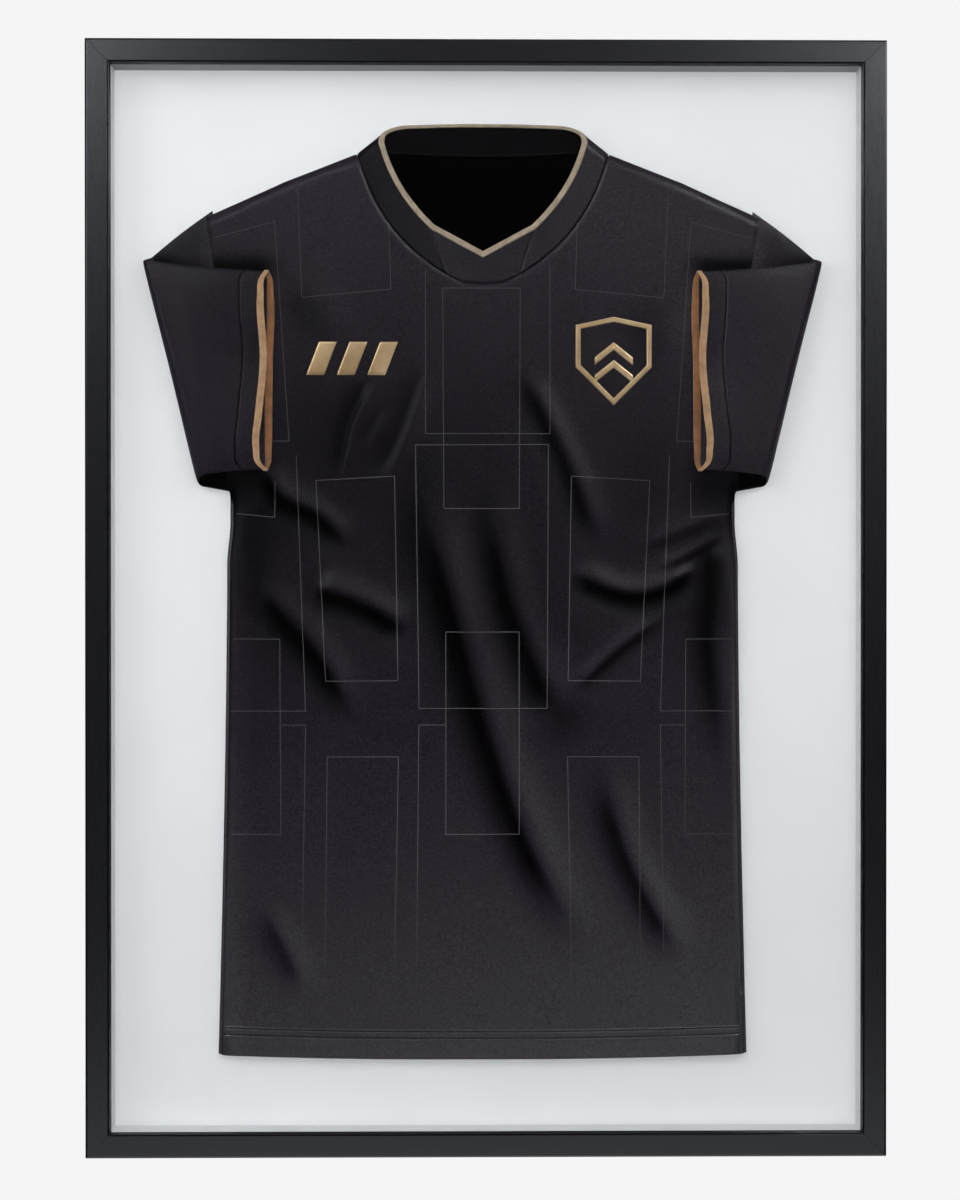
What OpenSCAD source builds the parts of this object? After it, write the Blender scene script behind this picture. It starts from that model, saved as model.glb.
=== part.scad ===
// Deep box frame that shows a folded sports jersey behind a clear pane.
// Millimetres. X runs to the right as seen from the front, +Y runs back to the wall, +Z is up.
// The origin lies on the wall plane, behind the centre of the frame.

/* [Pane] */
// Width of the clear pane and of every board behind it
pane_w = 594; // [580:1:700]
// Height of the clear pane and of every board behind it
pane_h = 841; // [841:1:1000]
// Thickness of the clear pane
pane_t = 2; // [1.5:0.5:3]
// Gap between the edge of the pane and the moulding
rebate_gap = 1; // [0.5:0.1:2]

/* [Moulding] */
// Width of the moulding seen from the front
face_w = 20; // [19:0.5:26]
// Depth of the moulding from its front to its back face
rail_depth = 38; // [38:0.5:45]
// How far the lip covers the edge of the pane
lip = 5; // [4.5:0.5:6]
// Thickness of the lip in front of the pane
lip_t = 4; // [3:0.5:5]
// Bevel along the outer front edge
edge_bevel = 1.5; // [0.5:0.1:2.5]
// Width of the groove beside the sight edge
groove_w = 0.9; // [0.6:0.1:1.2]
// Depth of the groove beside the sight edge
groove_d = 1; // [0.5:0.1:1.5]
// Width of the sloping bead at the sight edge
bead_w = 2.2; // [1.5:0.1:2.5]

/* [Backing] */
// Thickness of the removable back board
back_board_t = 3; // [2.5:0.5:3]
// Thickness of the white board that the jersey is fixed to
mount_board_t = 2.5; // [1.5:0.5:2.5]
// Thickness of the white spacer strips that line the sides
spacer_t = 4; // [3:0.5:5]
// Thickness of the round pads that touch the wall
pad_t = 5; // [5:0.5:8]
// Radius of the round pads
pad_r = 6.5; // [5:0.5:6.5]

/* [Turn buttons] */
// Length of a turn button
button_l = 32; // [26:1:36]
// Width of a turn button
button_w = 12; // [9:1:12]
// Thickness of a turn button
button_t = 1.2; // [1:0.1:1.5]

/* [Hangers] */
// Height of the ring pivots above the centre of the frame
hanger_z = 150; // [100:5:200]
// Width of a hanger strap
strap_w = 8; // [7:0.5:8]
// Length of a hanger strap below its pivot
strap_l = 26; // [25:1:32]
// Radius of the ring wire
wire_r = 1; // [0.9:0.05:1]

/* [Jersey] */
// Sideways place of the middle of the jersey
jersey_x = -2.5; // [-6:0.5:6]
// Half width of the jersey at the chest
chest_half = 199; // [190:1:205]
// Half width of the jersey at the hem
hem_half = 206.5; // [195:0.5:215]
// Height of the hem edge, measured from the centre of the frame
hem_z = -361; // [-380:1:-345]
// Height of the folded hem band
hem_band_h = 19; // [12:1:25]
// Thickness that the front of the jersey takes up with its folds
front_t = 5; // [4:0.5:6]
// Thickness of the foam board inside the jersey
form_t = 5; // [3:0.5:5]

/* [Hidden] */
$fn = 64;

// Half sizes of the frame
stem = face_w - lip;
half_w = pane_w / 2 + rebate_gap + stem;
half_h = pane_h / 2 + rebate_gap + stem;
stem_mid = stem / 2;

// Depths, front to back, all measured from the wall at y = 0
back_y = -pad_t;
front_y = back_y - rail_depth;
pane_front_y = front_y + lip_t;
pane_back_y = pane_front_y + pane_t;
board_inset = 0.2;
back_board_y = back_y - board_inset - back_board_t;
mount_y = back_board_y - mount_board_t;
cloth_t = 1;
ply_gap = 0.1;
jersey_back_y = mount_y - ply_gap - cloth_t;
form_y = jersey_back_y - ply_gap - form_t;
front_cloth_y = form_y - ply_gap - front_t;

// Fasteners and running clearances
screw_r = 1.5;
screw_hole_r = 1.55;
screw_l = 10;
screw_head_r = 3.5;
screw_head_t = 1.7;
button_lift = 0.1;
button_bore_r = 1.56;
strap_screw_r = 1.3;
strap_screw_hole_r = 1.35;
strap_screw_head_r = 2.8;
strap_screw_head_t = 1.4;
strap_t = 1;
knuckle_r = 2.1;
knuckle_bore_r = wire_r + 0.08;
pivot_y = back_y + knuckle_r + 0.05;
ring_half = 6;
ring_leg = 5;
ring_bend = 2;
strap_screw_drops = [7, 20];

// Corner wedges: thin angles driven across each mitre from the back
wedge_t = 0.8;
wedge_deep = 10;
wedge_legs = [[3.5, 7], [8, 6]];
wedge_gap = 0.05;

// Turn button places: [x, z, turn] with the turn that points the button at the boards
rail_mid_x = half_w - stem_mid;
rail_mid_z = half_h - stem_mid;
button_x = 150;
button_z = 300;

// Jersey outline, half of it, from the middle of the jersey outwards
neck_half = 87;
neck_top_z = 372;
neck_side_z = 361;
trim_w = 5;
trim_bend = [40.5, 292.4];
trim_low_z = 268.8;
trim_side = [81, neck_side_z];
seam_side = [99, 348];
seam_pull = [80, 278];
seam_low = [15.5, 248.4];
insert_top = 39;
insert_low = 29;
shoulder_tip = [chest_half, 308];
fold_top = [269, 265];
fold_low = [224.5, 88];
cuff_top = [171, 257];
cuff_low = [172, 101];
armpit = [206, 86];
waist_z = 70;
cuff_w = 7;
cuff_wall = 1.2;
card_t = 2;
card_inset = 8;
sleeve_cloth_t = 1.2;
sleeve_crown_t = 3.5;
sleeve_lift = 0.3;
sleeve_y = front_cloth_y - sleeve_lift;
mark_t = 0.8;

// Points along a quadratic curve from a to c that is pulled towards b
function curve(a, b, c, steps = 12) =
    [for (i = [0 : steps]) let (t = i / steps)
        (1 - t) * (1 - t) * a + 2 * t * (1 - t) * b + t * t * c];

// The same points with the first coordinate turned round, in reverse order
function mirrored(points) =
    [for (i = [len(points) - 1 : -1 : 0]) [-points[i][0], points[i][1]]];

// A whole outline from its right half
function both_halves(points) = concat(points, mirrored(points));

// Sets an outline drawn in X and Z into a slab between two depths
module slab(y_front, y_back) {
    translate([0, y_back, 0])
        rotate([90, 0, 0])
            linear_extrude(y_back - y_front) children();
}

// The same, centred on the jersey
module jersey_slab(y_front, y_back) {
    translate([jersey_x, 0, 0]) slab(y_front, y_back) children();
}

// Turns a piece drawn for the right side over to the left side of the jersey
module on_side(side) {
    translate([jersey_x, 0, 0]) mirror([side < 0 ? 1 : 0, 0, 0]) children();
}

/* Moulding */

// Section of the moulding: depth against distance from the outer edge
module moulding_section() {
    bead_u = face_w - bead_w;
    groove_u = bead_u - groove_w;
    bead_drop = 0.4;
    bead_fall = 1.9;
    bead_round = 0.5;
    polygon([
        [back_y, 0],
        [front_y + edge_bevel, 0],
        [front_y, edge_bevel],
        [front_y, groove_u],
        [front_y + groove_d, groove_u],
        [front_y + groove_d, bead_u],
        [front_y + bead_drop, bead_u],
        [front_y + bead_drop, bead_u + bead_round],
        [front_y + bead_drop + bead_fall, face_w],
        [pane_front_y, face_w],
        [pane_front_y, stem],
        [back_y, stem]]);
}

// A mitred bar that runs along X, with its outer edge at z = -reach
module mitred_bar(half_length, reach) {
    over = 1;
    intersection() {
        rotate([90, 0, 90])
            linear_extrude(2 * half_length + 2 * over, center = true)
                translate([0, -reach]) moulding_section();
        slab(front_y - over, back_y + over)
            polygon([
                [-half_length - over, -reach - over],
                [half_length + over, -reach - over],
                [half_length - face_w - over, -reach + face_w + over],
                [-half_length + face_w + over, -reach + face_w + over]]);
    }
}

// Plan of the two wedges at one corner, with room around them if grow is set
module wedge_plan(sx, sz, grow = 0) {
    for (leg = wedge_legs)
        translate([sx * (half_w - leg[0]), sz * (half_h - leg[0])])
            mirror([sx > 0 ? 1 : 0, 0])
                mirror([0, sz > 0 ? 1 : 0])
                    polygon([
                        [-grow, -grow],
                        [leg[1] + grow, -grow],
                        [leg[1] + grow, wedge_t + grow],
                        [wedge_t + grow, wedge_t + grow],
                        [wedge_t + grow, leg[1] + grow],
                        [-grow, leg[1] + grow]]);
}

// Pockets for every wedge
module wedge_pockets() {
    for (sx = [-1, 1], sz = [-1, 1])
        slab(back_y - wedge_deep - wedge_gap, back_y + 1) wedge_plan(sx, sz, wedge_gap);
}

// A round hole or pin along Y
module along_y(x, z, r, y_front, y_back) {
    translate([x, y_back, z]) rotate([90, 0, 0]) cylinder(r = r, h = y_back - y_front);
}

// Pilot holes for the button screws on one rail
module button_pilots(places) {
    for (p = places)
        along_y(p[0], p[1], screw_hole_r, back_y - screw_l - 0.5, back_y + 1);
}

// Pilot holes for the strap screws on one side rail
module strap_pilots(side) {
    for (drop = strap_screw_drops)
        along_y(side * rail_mid_x, hanger_z - drop, strap_screw_hole_r,
            back_y - screw_l - 0.5, back_y + 1);
}

function top_places() = [for (s = [-1, 1]) [s * button_x, rail_mid_z]];
function bottom_places() = [for (s = [-1, 1]) [s * button_x, -rail_mid_z]];
function side_places(side) = [for (z = [button_z, 0, -button_z]) [side * rail_mid_x, z]];

module rail_bottom() {
    color("#1b1b1c") difference() {
        mitred_bar(half_w, half_h);
        wedge_pockets();
        button_pilots(bottom_places());
    }
}

module rail_top() {
    color("#1b1b1c") difference() {
        rotate([0, 180, 0]) mitred_bar(half_w, half_h);
        wedge_pockets();
        button_pilots(top_places());
    }
}

module side_rail(side) {
    color("#1b1b1c") difference() {
        rotate([0, -side * 90, 0]) mitred_bar(half_h, half_w);
        wedge_pockets();
        button_pilots(side_places(side));
        strap_pilots(side);
    }
}

module rail_left() { side_rail(-1); }
module rail_right() { side_rail(1); }

module corner_wedges() {
    color("#a9adb0") for (sx = [-1, 1], sz = [-1, 1])
        slab(back_y - wedge_deep, back_y) wedge_plan(sx, sz);
}

/* Pane, spacers and boards */

module full_board(y_front, y_back) {
    slab(y_front, y_back) square([pane_w, pane_h], center = true);
}

module clear_pane() {
    color("#dfe9ec", 0.35) full_board(pane_front_y, pane_back_y);
}

module level_spacer(sz) {
    color("#f1f2f2") slab(pane_back_y, mount_y)
        translate([0, sz * (pane_h - spacer_t) / 2])
            square([pane_w, spacer_t], center = true);
}

module upright_spacer(sx) {
    color("#f1f2f2") slab(pane_back_y, mount_y)
        translate([sx * (pane_w - spacer_t) / 2, 0])
            square([spacer_t, pane_h - 2 * spacer_t], center = true);
}

module spacer_top() { level_spacer(1); }
module spacer_bottom() { level_spacer(-1); }
module spacer_left() { upright_spacer(-1); }
module spacer_right() { upright_spacer(1); }

module mount_board() {
    color("#eceeef") full_board(mount_y, back_board_y);
}

module back_board() {
    color("#a5835a") full_board(back_board_y, back_y - board_inset);
}

/* Turn buttons and their screws */

// A plate with round ends and a bore near one end, pointing along -Z before it is turned
module turn_button(x, z, turn) {
    end_r = button_w / 2;
    reach = button_l - button_w;
    y0 = back_y + button_lift;
    color("#c2c5c8") translate([x, 0, z]) rotate([0, turn, 0]) difference() {
        slab(y0, y0 + button_t) {
            circle(end_r);
            translate([0, -reach]) circle(end_r);
            translate([-end_r, -reach]) square([button_w, reach]);
        }
        along_y(0, 0, button_bore_r, y0 - 1, y0 + button_t + 1);
    }
}

module button_top_left() { turn_button(-button_x, rail_mid_z, 0); }
module button_top_right() { turn_button(button_x, rail_mid_z, 0); }
module button_bottom_left() { turn_button(-button_x, -rail_mid_z, 180); }
module button_bottom_right() { turn_button(button_x, -rail_mid_z, 180); }
module button_left_upper() { turn_button(-rail_mid_x, button_z, -90); }
module button_left_middle() { turn_button(-rail_mid_x, 0, -90); }
module button_left_lower() { turn_button(-rail_mid_x, -button_z, -90); }
module button_right_upper() { turn_button(rail_mid_x, button_z, 90); }
module button_right_middle() { turn_button(rail_mid_x, 0, 90); }
module button_right_lower() { turn_button(rail_mid_x, -button_z, 90); }

// A pan head screw that enters the moulding from the back, with a cross slot
module pan_screw(x, z, y_under, shank_r, head_r, head_t) {
    slot_w = 0.7;
    difference() {
        union() {
            along_y(x, z, shank_r, back_y - screw_l, y_under + 0.1);
            along_y(x, z, head_r, y_under, y_under + head_t);
        }
        for (turn = [0, 90])
            translate([x, y_under + head_t, z]) rotate([0, turn, 0])
                cube([slot_w, head_t, head_r * 1.2], center = true);
    }
}

module button_screws() {
    places = concat(top_places(), bottom_places(), side_places(-1), side_places(1));
    under = back_y + button_lift + button_t + 0.05;
    color("#b9bcbf") for (p = places)
        pan_screw(p[0], p[1], under, screw_r, screw_head_r, screw_head_t);
}

/* Wall pads */

module wall_pads() {
    color("#2a2a2b") for (sx = [-1, 1], sz = [-1, 1])
        along_y(sx * rail_mid_x, sz * rail_mid_z, pad_r, back_y, 0);
}

/* Hangers */

// A strap that is folded round the straight side of its ring
module hanger_strap(side) {
    x = side * rail_mid_x;
    end_r = strap_w / 2;
    color("#c2c5c8") difference() {
        union() {
            slab(back_y, back_y + strap_t) {
                translate([x, hanger_z - strap_l + end_r]) circle(end_r);
                translate([x - end_r, hanger_z - strap_l + end_r])
                    square([strap_w, strap_l - end_r]);
            }
            translate([x, pivot_y, hanger_z])
                rotate([0, 90, 0]) cylinder(r = knuckle_r, h = strap_w, center = true);
        }
        translate([x, pivot_y, hanger_z])
            rotate([0, 90, 0]) cylinder(r = knuckle_bore_r, h = strap_w + 2, center = true);
        for (drop = strap_screw_drops)
            along_y(x, hanger_z - drop, strap_screw_hole_r, back_y - 1, back_y + strap_t + 1);
    }
}

module strap_left() { hanger_strap(-1); }
module strap_right() { hanger_strap(1); }

module strap_screws() {
    color("#b9bcbf") for (side = [-1, 1], drop = strap_screw_drops)
        pan_screw(side * rail_mid_x, hanger_z - drop, back_y + strap_t,
            strap_screw_r, strap_screw_head_r, strap_screw_head_t);
}

// Wire bent into a D: straight bar through the strap, two legs and a round top
module hanger_ring(side) {
    color("#c9ccce") translate([side * rail_mid_x, pivot_y, hanger_z]) {
        rotate([0, 90, 0])
            cylinder(r = wire_r, h = 2 * (ring_half - ring_bend), center = true);
        for (s = [-1, 1]) {
            translate([s * ring_half, 0, ring_bend])
                cylinder(r = wire_r, h = ring_leg - ring_bend);
            translate([s * (ring_half - ring_bend), 0, ring_bend])
                rotate([90, 0, 0])
                    rotate([0, 0, s > 0 ? -90 : 180])
                        rotate_extrude(angle = 90) translate([ring_bend, 0]) circle(wire_r);
        }
        translate([0, 0, ring_leg]) rotate([90, 0, 0])
            rotate_extrude(angle = 180) translate([ring_half, 0]) circle(wire_r);
    }
}

module ring_left() { hanger_ring(-1); }
module ring_right() { hanger_ring(1); }

/* Jersey */

// Seam between the collar band and the front, right half, from the side inwards
function collar_seam() = curve(seam_side, seam_pull, seam_low);

// Outer edge of the neck trim, right half, from the side down to the point of the V
function trim_outer() = concat(
    curve(trim_side, [70, 318], trim_bend, 8),
    [[0, trim_low_z]]);

// Inner edge of the neck trim, right half
function trim_inner() = concat(
    curve(trim_side - [trim_w, -1], [70 - trim_w, 320], trim_bend + [-trim_w + 1, 4], 8),
    [[0, trim_low_z + trim_w * 1.25]]);

// Top edge at the back of the neck, right half, from the middle outwards to a side point
function neck_top(drop = 0, side = trim_side) = curve(
    [0, neck_top_z - drop], [58, neck_top_z - drop], side, 8);

// Points without the last one, so that two runs can share an end
function but_last(points) = [for (i = [0 : len(points) - 2]) points[i]];

// A closed neck line: up over the back from the middle, down one side to the V and back
function neck_loop(top, side) = let (half = concat(but_last(top), side))
    concat(half, but_last(mirrored(but_last(half))));

// Side of the jersey from the shoulder down to the hem
function body_side(low_z) = [
    shoulder_tip,
    [chest_half, waist_z],
    [chest_half + (hem_half - chest_half) * (waist_z - low_z) / (waist_z - hem_z), low_z]];

module jersey_back() {
    outline = concat(neck_top(), [[neck_half, neck_side_z - 4]], [[151, 334]],
        body_side(hem_z + 4));
    color("#1d1b1f") jersey_slab(jersey_back_y, mount_y - ply_gap)
        polygon(both_halves(outline));
}

module jersey_front() {
    low_z = hem_z + hem_band_h;
    outline = concat([for (i = [12 : -1 : 0]) collar_seam()[i]], [[155, 329]],
        body_side(low_z));
    color("#211f23") jersey_slab(front_cloth_y, front_cloth_y + front_t)
        polygon(both_halves(outline));
}

module hem_band() {
    top_z = hem_z + hem_band_h - ply_gap;
    outline = concat([[0, top_z]], [body_side(top_z)[2]], [[hem_half, hem_z + 3]],
        [[0, hem_z - 2]]);
    color("#211f23") jersey_slab(front_cloth_y - 0.4, front_cloth_y + front_t)
        polygon(both_halves(outline));
}

// Collar band: the part between the seam and the trim, open at the neck
module collar_band() {
    gap = ply_gap;
    color("#242226") jersey_slab(front_cloth_y + 0.5, front_cloth_y + front_t)
        for (s = [0, 1]) mirror([s, 0])
            difference() {
                polygon(concat(
                    [for (p = collar_seam()) p + [-gap, gap]],
                    [[0, seam_low[1] + gap], [0, trim_low_z - gap]],
                    [for (i = [8 : -1 : 0]) trim_outer()[i] + [gap, 0]],
                    [[neck_half, neck_side_z]]));
                polygon([
                    [-1, trim_low_z + 40],
                    [insert_top + gap, trim_bend[1] + 1],
                    [insert_low + gap, seam_low[1] - 1],
                    [-1, seam_low[1] - 1]]);
            }
}

// Pointed insert below the V
module collar_insert() {
    gap = ply_gap;
    color("#242226") jersey_slab(front_cloth_y + 0.3, front_cloth_y + front_t)
        intersection() {
            polygon(both_halves([
                [insert_top, trim_bend[1] + 1],
                [insert_low, seam_low[1] + 3.5],
                [seam_low[0], seam_low[1] + gap]]));
            polygon(both_halves(concat(
                [[0, trim_low_z - gap]], [trim_bend + [0, -gap]], [[60, 300], [60, 200]])));
            polygon(both_halves(concat(
                [[0, neck_side_z]], [for (p = collar_seam()) p + [-gap, gap]])));
        }
}

// Trim bound over the neck edge, front and back
module neck_trim() {
    color("#a8946c") jersey_slab(front_cloth_y - 0.3, front_cloth_y + front_t)
        difference() {
            polygon(neck_loop(neck_top(), trim_outer()));
            polygon(neck_loop(neck_top(trim_w, trim_inner()[0]), trim_inner()));
        }
}

// Tape that covers the seam inside the back of the neck
module neck_tape() {
    color("#17161a") jersey_slab(jersey_back_y - ply_gap - 1, jersey_back_y - ply_gap)
        polygon(both_halves([[0, 352], [60, 350], [74, 346], [66, 338], [0, 340]]));
}

// Foam board that holds the body of the jersey flat
module form_board() {
    inset = 9;
    color("#e9e9e6") jersey_slab(form_y, form_y + form_t)
        polygon(both_halves([
            [0, seam_low[1] - 8],
            [30, seam_low[1] - 8],
            [95, 318],
            [150, 314],
            [chest_half - inset, 290],
            [chest_half - inset, waist_z],
            [hem_half - inset, hem_z + inset]]));
}

// Short steel pins that fix the back of the jersey to the board
module holding_pins() {
    color("#c9ccce") translate([jersey_x, 0, 0])
        for (s = [-1, 1], z = [-330, -180, -30, 120, 285]) {
            along_y(s * 150, z, 0.4, jersey_back_y, mount_y + 2);
            along_y(s * 150, z, 0.9, jersey_back_y - 0.05, jersey_back_y);
        }
}

// The part of a sleeve that runs out from the shoulder, under the folded part
module sleeve_under(side) {
    gap = ply_gap;
    color("#1d1b1f") on_side(side) slab(front_cloth_y + 1, jersey_back_y)
        polygon([
            [chest_half + gap, 120],
            shoulder_tip + [gap, 0],
            [218, 301],
            fold_top,
            fold_low,
            armpit]);
}

module sleeve_under_left() { sleeve_under(-1); }
module sleeve_under_right() { sleeve_under(1); }

// Outline of the folded sleeve, drawn in by a margin
function sleeve_outline(margin) = [
    fold_top + [-margin * 1.2, -margin],
    cuff_top + [margin, -margin],
    cuff_low + [margin, margin],
    armpit + [0, margin],
    fold_low + [-margin, margin]];

module sleeve_ply(side, y_front, y_back, margin) {
    on_side(side) slab(y_front, y_back) polygon(sleeve_outline(margin));
}

inner_front_y = sleeve_y - sleeve_cloth_t;
card_front_y = inner_front_y - ply_gap - card_t;
outer_front_y = card_front_y - ply_gap - sleeve_crown_t;

module sleeve_inner_left() {
    color("#1d1b1f") sleeve_ply(-1, inner_front_y, sleeve_y, 0);
}
module sleeve_inner_right() {
    color("#1d1b1f") sleeve_ply(1, inner_front_y, sleeve_y, 0);
}
module sleeve_card_left() {
    color("#e9e9e6") sleeve_ply(-1, card_front_y, card_front_y + card_t, card_inset);
}
module sleeve_card_right() {
    color("#e9e9e6") sleeve_ply(1, card_front_y, card_front_y + card_t, card_inset);
}
module sleeve_outer_left() {
    color("#211f23") sleeve_ply(-1, outer_front_y, outer_front_y + sleeve_crown_t, 0);
}
module sleeve_outer_right() {
    color("#211f23") sleeve_ply(1, outer_front_y, outer_front_y + sleeve_crown_t, 0);
}

// Trim bound round the open end of the sleeve: a long flat loop
module cuff_trim(side) {
    depth = sleeve_y - outer_front_y;
    mid_y = (sleeve_y + outer_front_y) / 2;
    mid_z = (cuff_top[1] + cuff_low[1]) / 2;
    run = cuff_top[1] - cuff_low[1] - depth;
    color("#b98a55") on_side(side)
        translate([cuff_top[0] - ply_gap - cuff_w, mid_y, mid_z]) rotate([90, 0, 90])
            linear_extrude(cuff_w) difference() {
                union() {
                    square([depth, run], center = true);
                    for (s = [-1, 1]) translate([0, s * run / 2]) circle(d = depth);
                }
                union() {
                    square([depth - 2 * cuff_wall, run], center = true);
                    for (s = [-1, 1]) translate([0, s * run / 2])
                        circle(d = depth - 2 * cuff_wall);
                }
            }
}

module cuff_trim_left() { cuff_trim(-1); }
module cuff_trim_right() { cuff_trim(1); }

// Marks on the chest: three slanted bars, and a shield with a chevron
module chest_bars() {
    bar_w = 14;
    lean = 10;
    pitch = 24;
    color("#b2904f") jersey_slab(front_cloth_y - mark_t, front_cloth_y)
        for (i = [-1, 0, 1])
            translate([-103 + i * pitch, 189])
                polygon([
                    [-bar_w / 2 - lean / 2, -13],
                    [bar_w / 2 - lean / 2, -13],
                    [bar_w / 2 + lean / 2, 13],
                    [-bar_w / 2 + lean / 2, 13]]);
}

module chest_shield() {
    half = 30;
    line = 4;
    color("#b2904f") jersey_slab(front_cloth_y - mark_t, front_cloth_y)
        translate([103, 188]) {
            difference() {
                polygon(both_halves([[0, 34], [half, 28], [half, -6], [0, -36]]));
                polygon(both_halves([[0, 34 - line], [half - line, 28 - line],
                    [half - line, -4], [0, -36 + line * 1.5]]));
            }
            for (z = [0, -14])
                translate([0, z])
                    polygon(both_halves([[0, 14], [15, 2], [15, -4], [0, 8]]));
        }
}

rail_top();
rail_bottom();
rail_left();
rail_right();
corner_wedges();
clear_pane();
spacer_top();
spacer_bottom();
spacer_left();
spacer_right();
mount_board();
back_board();
button_top_left();
button_top_right();
button_bottom_left();
button_bottom_right();
button_left_upper();
button_left_middle();
button_left_lower();
button_right_upper();
button_right_middle();
button_right_lower();
button_screws();
wall_pads();
strap_left();
strap_right();
strap_screws();
ring_left();
ring_right();
form_board();
holding_pins();
jersey_back();
jersey_front();
hem_band();
collar_band();
collar_insert();
neck_trim();
neck_tape();
sleeve_under_left();
sleeve_under_right();
sleeve_inner_left();
sleeve_inner_right();
sleeve_card_left();
sleeve_card_right();
sleeve_outer_left();
sleeve_outer_right();
cuff_trim_left();
cuff_trim_right();
chest_bars();
chest_shield();
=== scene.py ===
# %% [markdown]
# # Jersey display frame
# A deep black box frame holds a folded sports jersey on a white board behind a clear pane.
# The CAD model fixes every size and place. This script gives each part its looks, one piece
# at a time. Lengths are in millimetres inside the functions and become metres in the mesh.

# %% Load the CAD frame and note its size
import math

import bmesh
import bpy
import numpy as np
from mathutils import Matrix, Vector


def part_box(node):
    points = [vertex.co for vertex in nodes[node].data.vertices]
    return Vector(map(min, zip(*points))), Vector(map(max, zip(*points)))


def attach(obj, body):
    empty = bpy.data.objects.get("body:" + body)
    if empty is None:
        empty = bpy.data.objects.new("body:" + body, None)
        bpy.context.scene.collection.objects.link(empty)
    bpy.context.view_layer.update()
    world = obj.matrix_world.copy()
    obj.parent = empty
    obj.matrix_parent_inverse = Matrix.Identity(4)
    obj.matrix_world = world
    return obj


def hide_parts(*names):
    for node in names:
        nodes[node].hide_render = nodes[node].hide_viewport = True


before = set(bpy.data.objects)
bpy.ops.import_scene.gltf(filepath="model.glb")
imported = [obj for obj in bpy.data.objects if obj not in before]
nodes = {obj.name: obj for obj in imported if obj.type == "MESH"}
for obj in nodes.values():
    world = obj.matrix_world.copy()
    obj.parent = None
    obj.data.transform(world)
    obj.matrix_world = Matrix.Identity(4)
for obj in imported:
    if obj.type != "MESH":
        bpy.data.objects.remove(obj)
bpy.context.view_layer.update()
MM = 0.001
BODY = "frame"


def span(node):
    """Lowest and highest corner of a CAD node, in millimetres."""
    low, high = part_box(node)
    return np.array(low) / MM, np.array(high) / MM


outer_half_w = span("rail_right")[1][0]
outer_half_h = span("rail_top")[1][2]
front_y = span("rail_top")[0][1]
back_y = span("rail_top")[1][1]
pane_front_y = span("clear_pane")[0][1]
board_y = span("mount_board")[0][1]
form_y = span("form_board")[0][1]
PANE_COVERED = 4.0
clear_half_w = span("clear_pane")[1][0] - PANE_COVERED
clear_half_h = span("clear_pane")[1][2] - PANE_COVERED
jersey_x = float(span("jersey_back")[0][0] + span("jersey_back")[1][0]) / 2
print("half size of the frame:", outer_half_w, outer_half_h, "depths:", front_y, board_y)
print("half size of the opening:", clear_half_w, clear_half_h)

# %% [markdown]
# ## Camera
# A long lens from a little over two metres away looks almost squarely at the frame. It stands
# slightly left of the middle, so the right inner side of the box shows and the left one hides.

# %% Camera
CAMERA_AWAY = 2.3403
TILT_DOWN, TURN_RIGHT = 0.358, 0.919

scene = bpy.context.scene
scene.view_settings.view_transform = "Standard"
camera_data = bpy.data.cameras.new("camera")
camera_data.lens = 90
camera_data.sensor_width = 36
camera = bpy.data.objects.new("camera", camera_data)
camera.location = (-0.0428, front_y * MM - CAMERA_AWAY, 0.0137)
camera.rotation_euler = (math.radians(90 - TILT_DOWN), 0, math.radians(-TURN_RIGHT))
scene.collection.objects.link(camera)
scene.camera = camera
print("camera:", CAMERA_AWAY, "m from the moulding,", camera_data.lens, "mm lens")

# %% [markdown]
# ## Light and room
# The room is an even pale grey to the eye, but it lights the object far more weakly than it looks.
# A Light Path node tells the camera's rays from all others, so the world can be two things at
# once: a plain pale colour behind the object, and a dim sky that is brighter above than below.

# %% World
PALE = 0.9131
AMBIENT = 0.12
SKY_DARK, SKY_BRIGHT = 0.55, 0.85

world = bpy.data.worlds.new("pale_room")
world.use_nodes = True
scene.world = world
links = world.node_tree.links
make = world.node_tree.nodes.new
world.node_tree.nodes.clear()
seen_background, light_background = make("ShaderNodeBackground"), make("ShaderNodeBackground")
seen_background.inputs["Color"].default_value = (PALE, PALE, PALE, 1)
room_mix, light_path = make("ShaderNodeMixShader"), make("ShaderNodeLightPath")
room_place, room_side = make("ShaderNodeTexCoord"), make("ShaderNodeSeparateXYZ")
room_ramp = make("ShaderNodeValToRGB")
links.new(room_place.outputs["Generated"], room_side.inputs["Vector"])
links.new(room_side.outputs["Z"], room_ramp.inputs["Fac"])
room_ramp.color_ramp.elements[0].color = (0.05, 0.05, 0.052, 1)
room_ramp.color_ramp.elements[0].position = SKY_DARK
room_ramp.color_ramp.elements[1].color = (1, 1, 1, 1)
room_ramp.color_ramp.elements[1].position = SKY_BRIGHT
links.new(room_ramp.outputs["Color"], light_background.inputs["Color"])
light_background.inputs["Strength"].default_value = AMBIENT
links.new(light_path.outputs["Is Camera Ray"], room_mix.inputs["Fac"])
links.new(light_background.outputs["Background"], room_mix.inputs[1])
links.new(seen_background.outputs["Background"], room_mix.inputs[2])
world_output = make("ShaderNodeOutputWorld")
links.new(room_mix.outputs["Shader"], world_output.inputs["Surface"])
print("world:", PALE, "to the camera,", AMBIENT, "as light")

# %% [markdown]
# ### Soft boxes
# Black satin paint is only as bright as what it mirrors, so the lights are placed for their
# reflections. Boxes up left and up right show in the upper corners of the moulding and leave its
# middle almost black, a low strip lifts the bottom rail, and one box far to the right draws the
# light line on the right bevel. The wide fills cast no shadow, which keeps the board even, and
# one box behind the frame lights its back. Each light is one line: place, aim, size and watts.

# %% Soft boxes
WARM, COOL = (1.0, 0.995, 0.985), (0.97, 0.985, 1.0)


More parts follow.
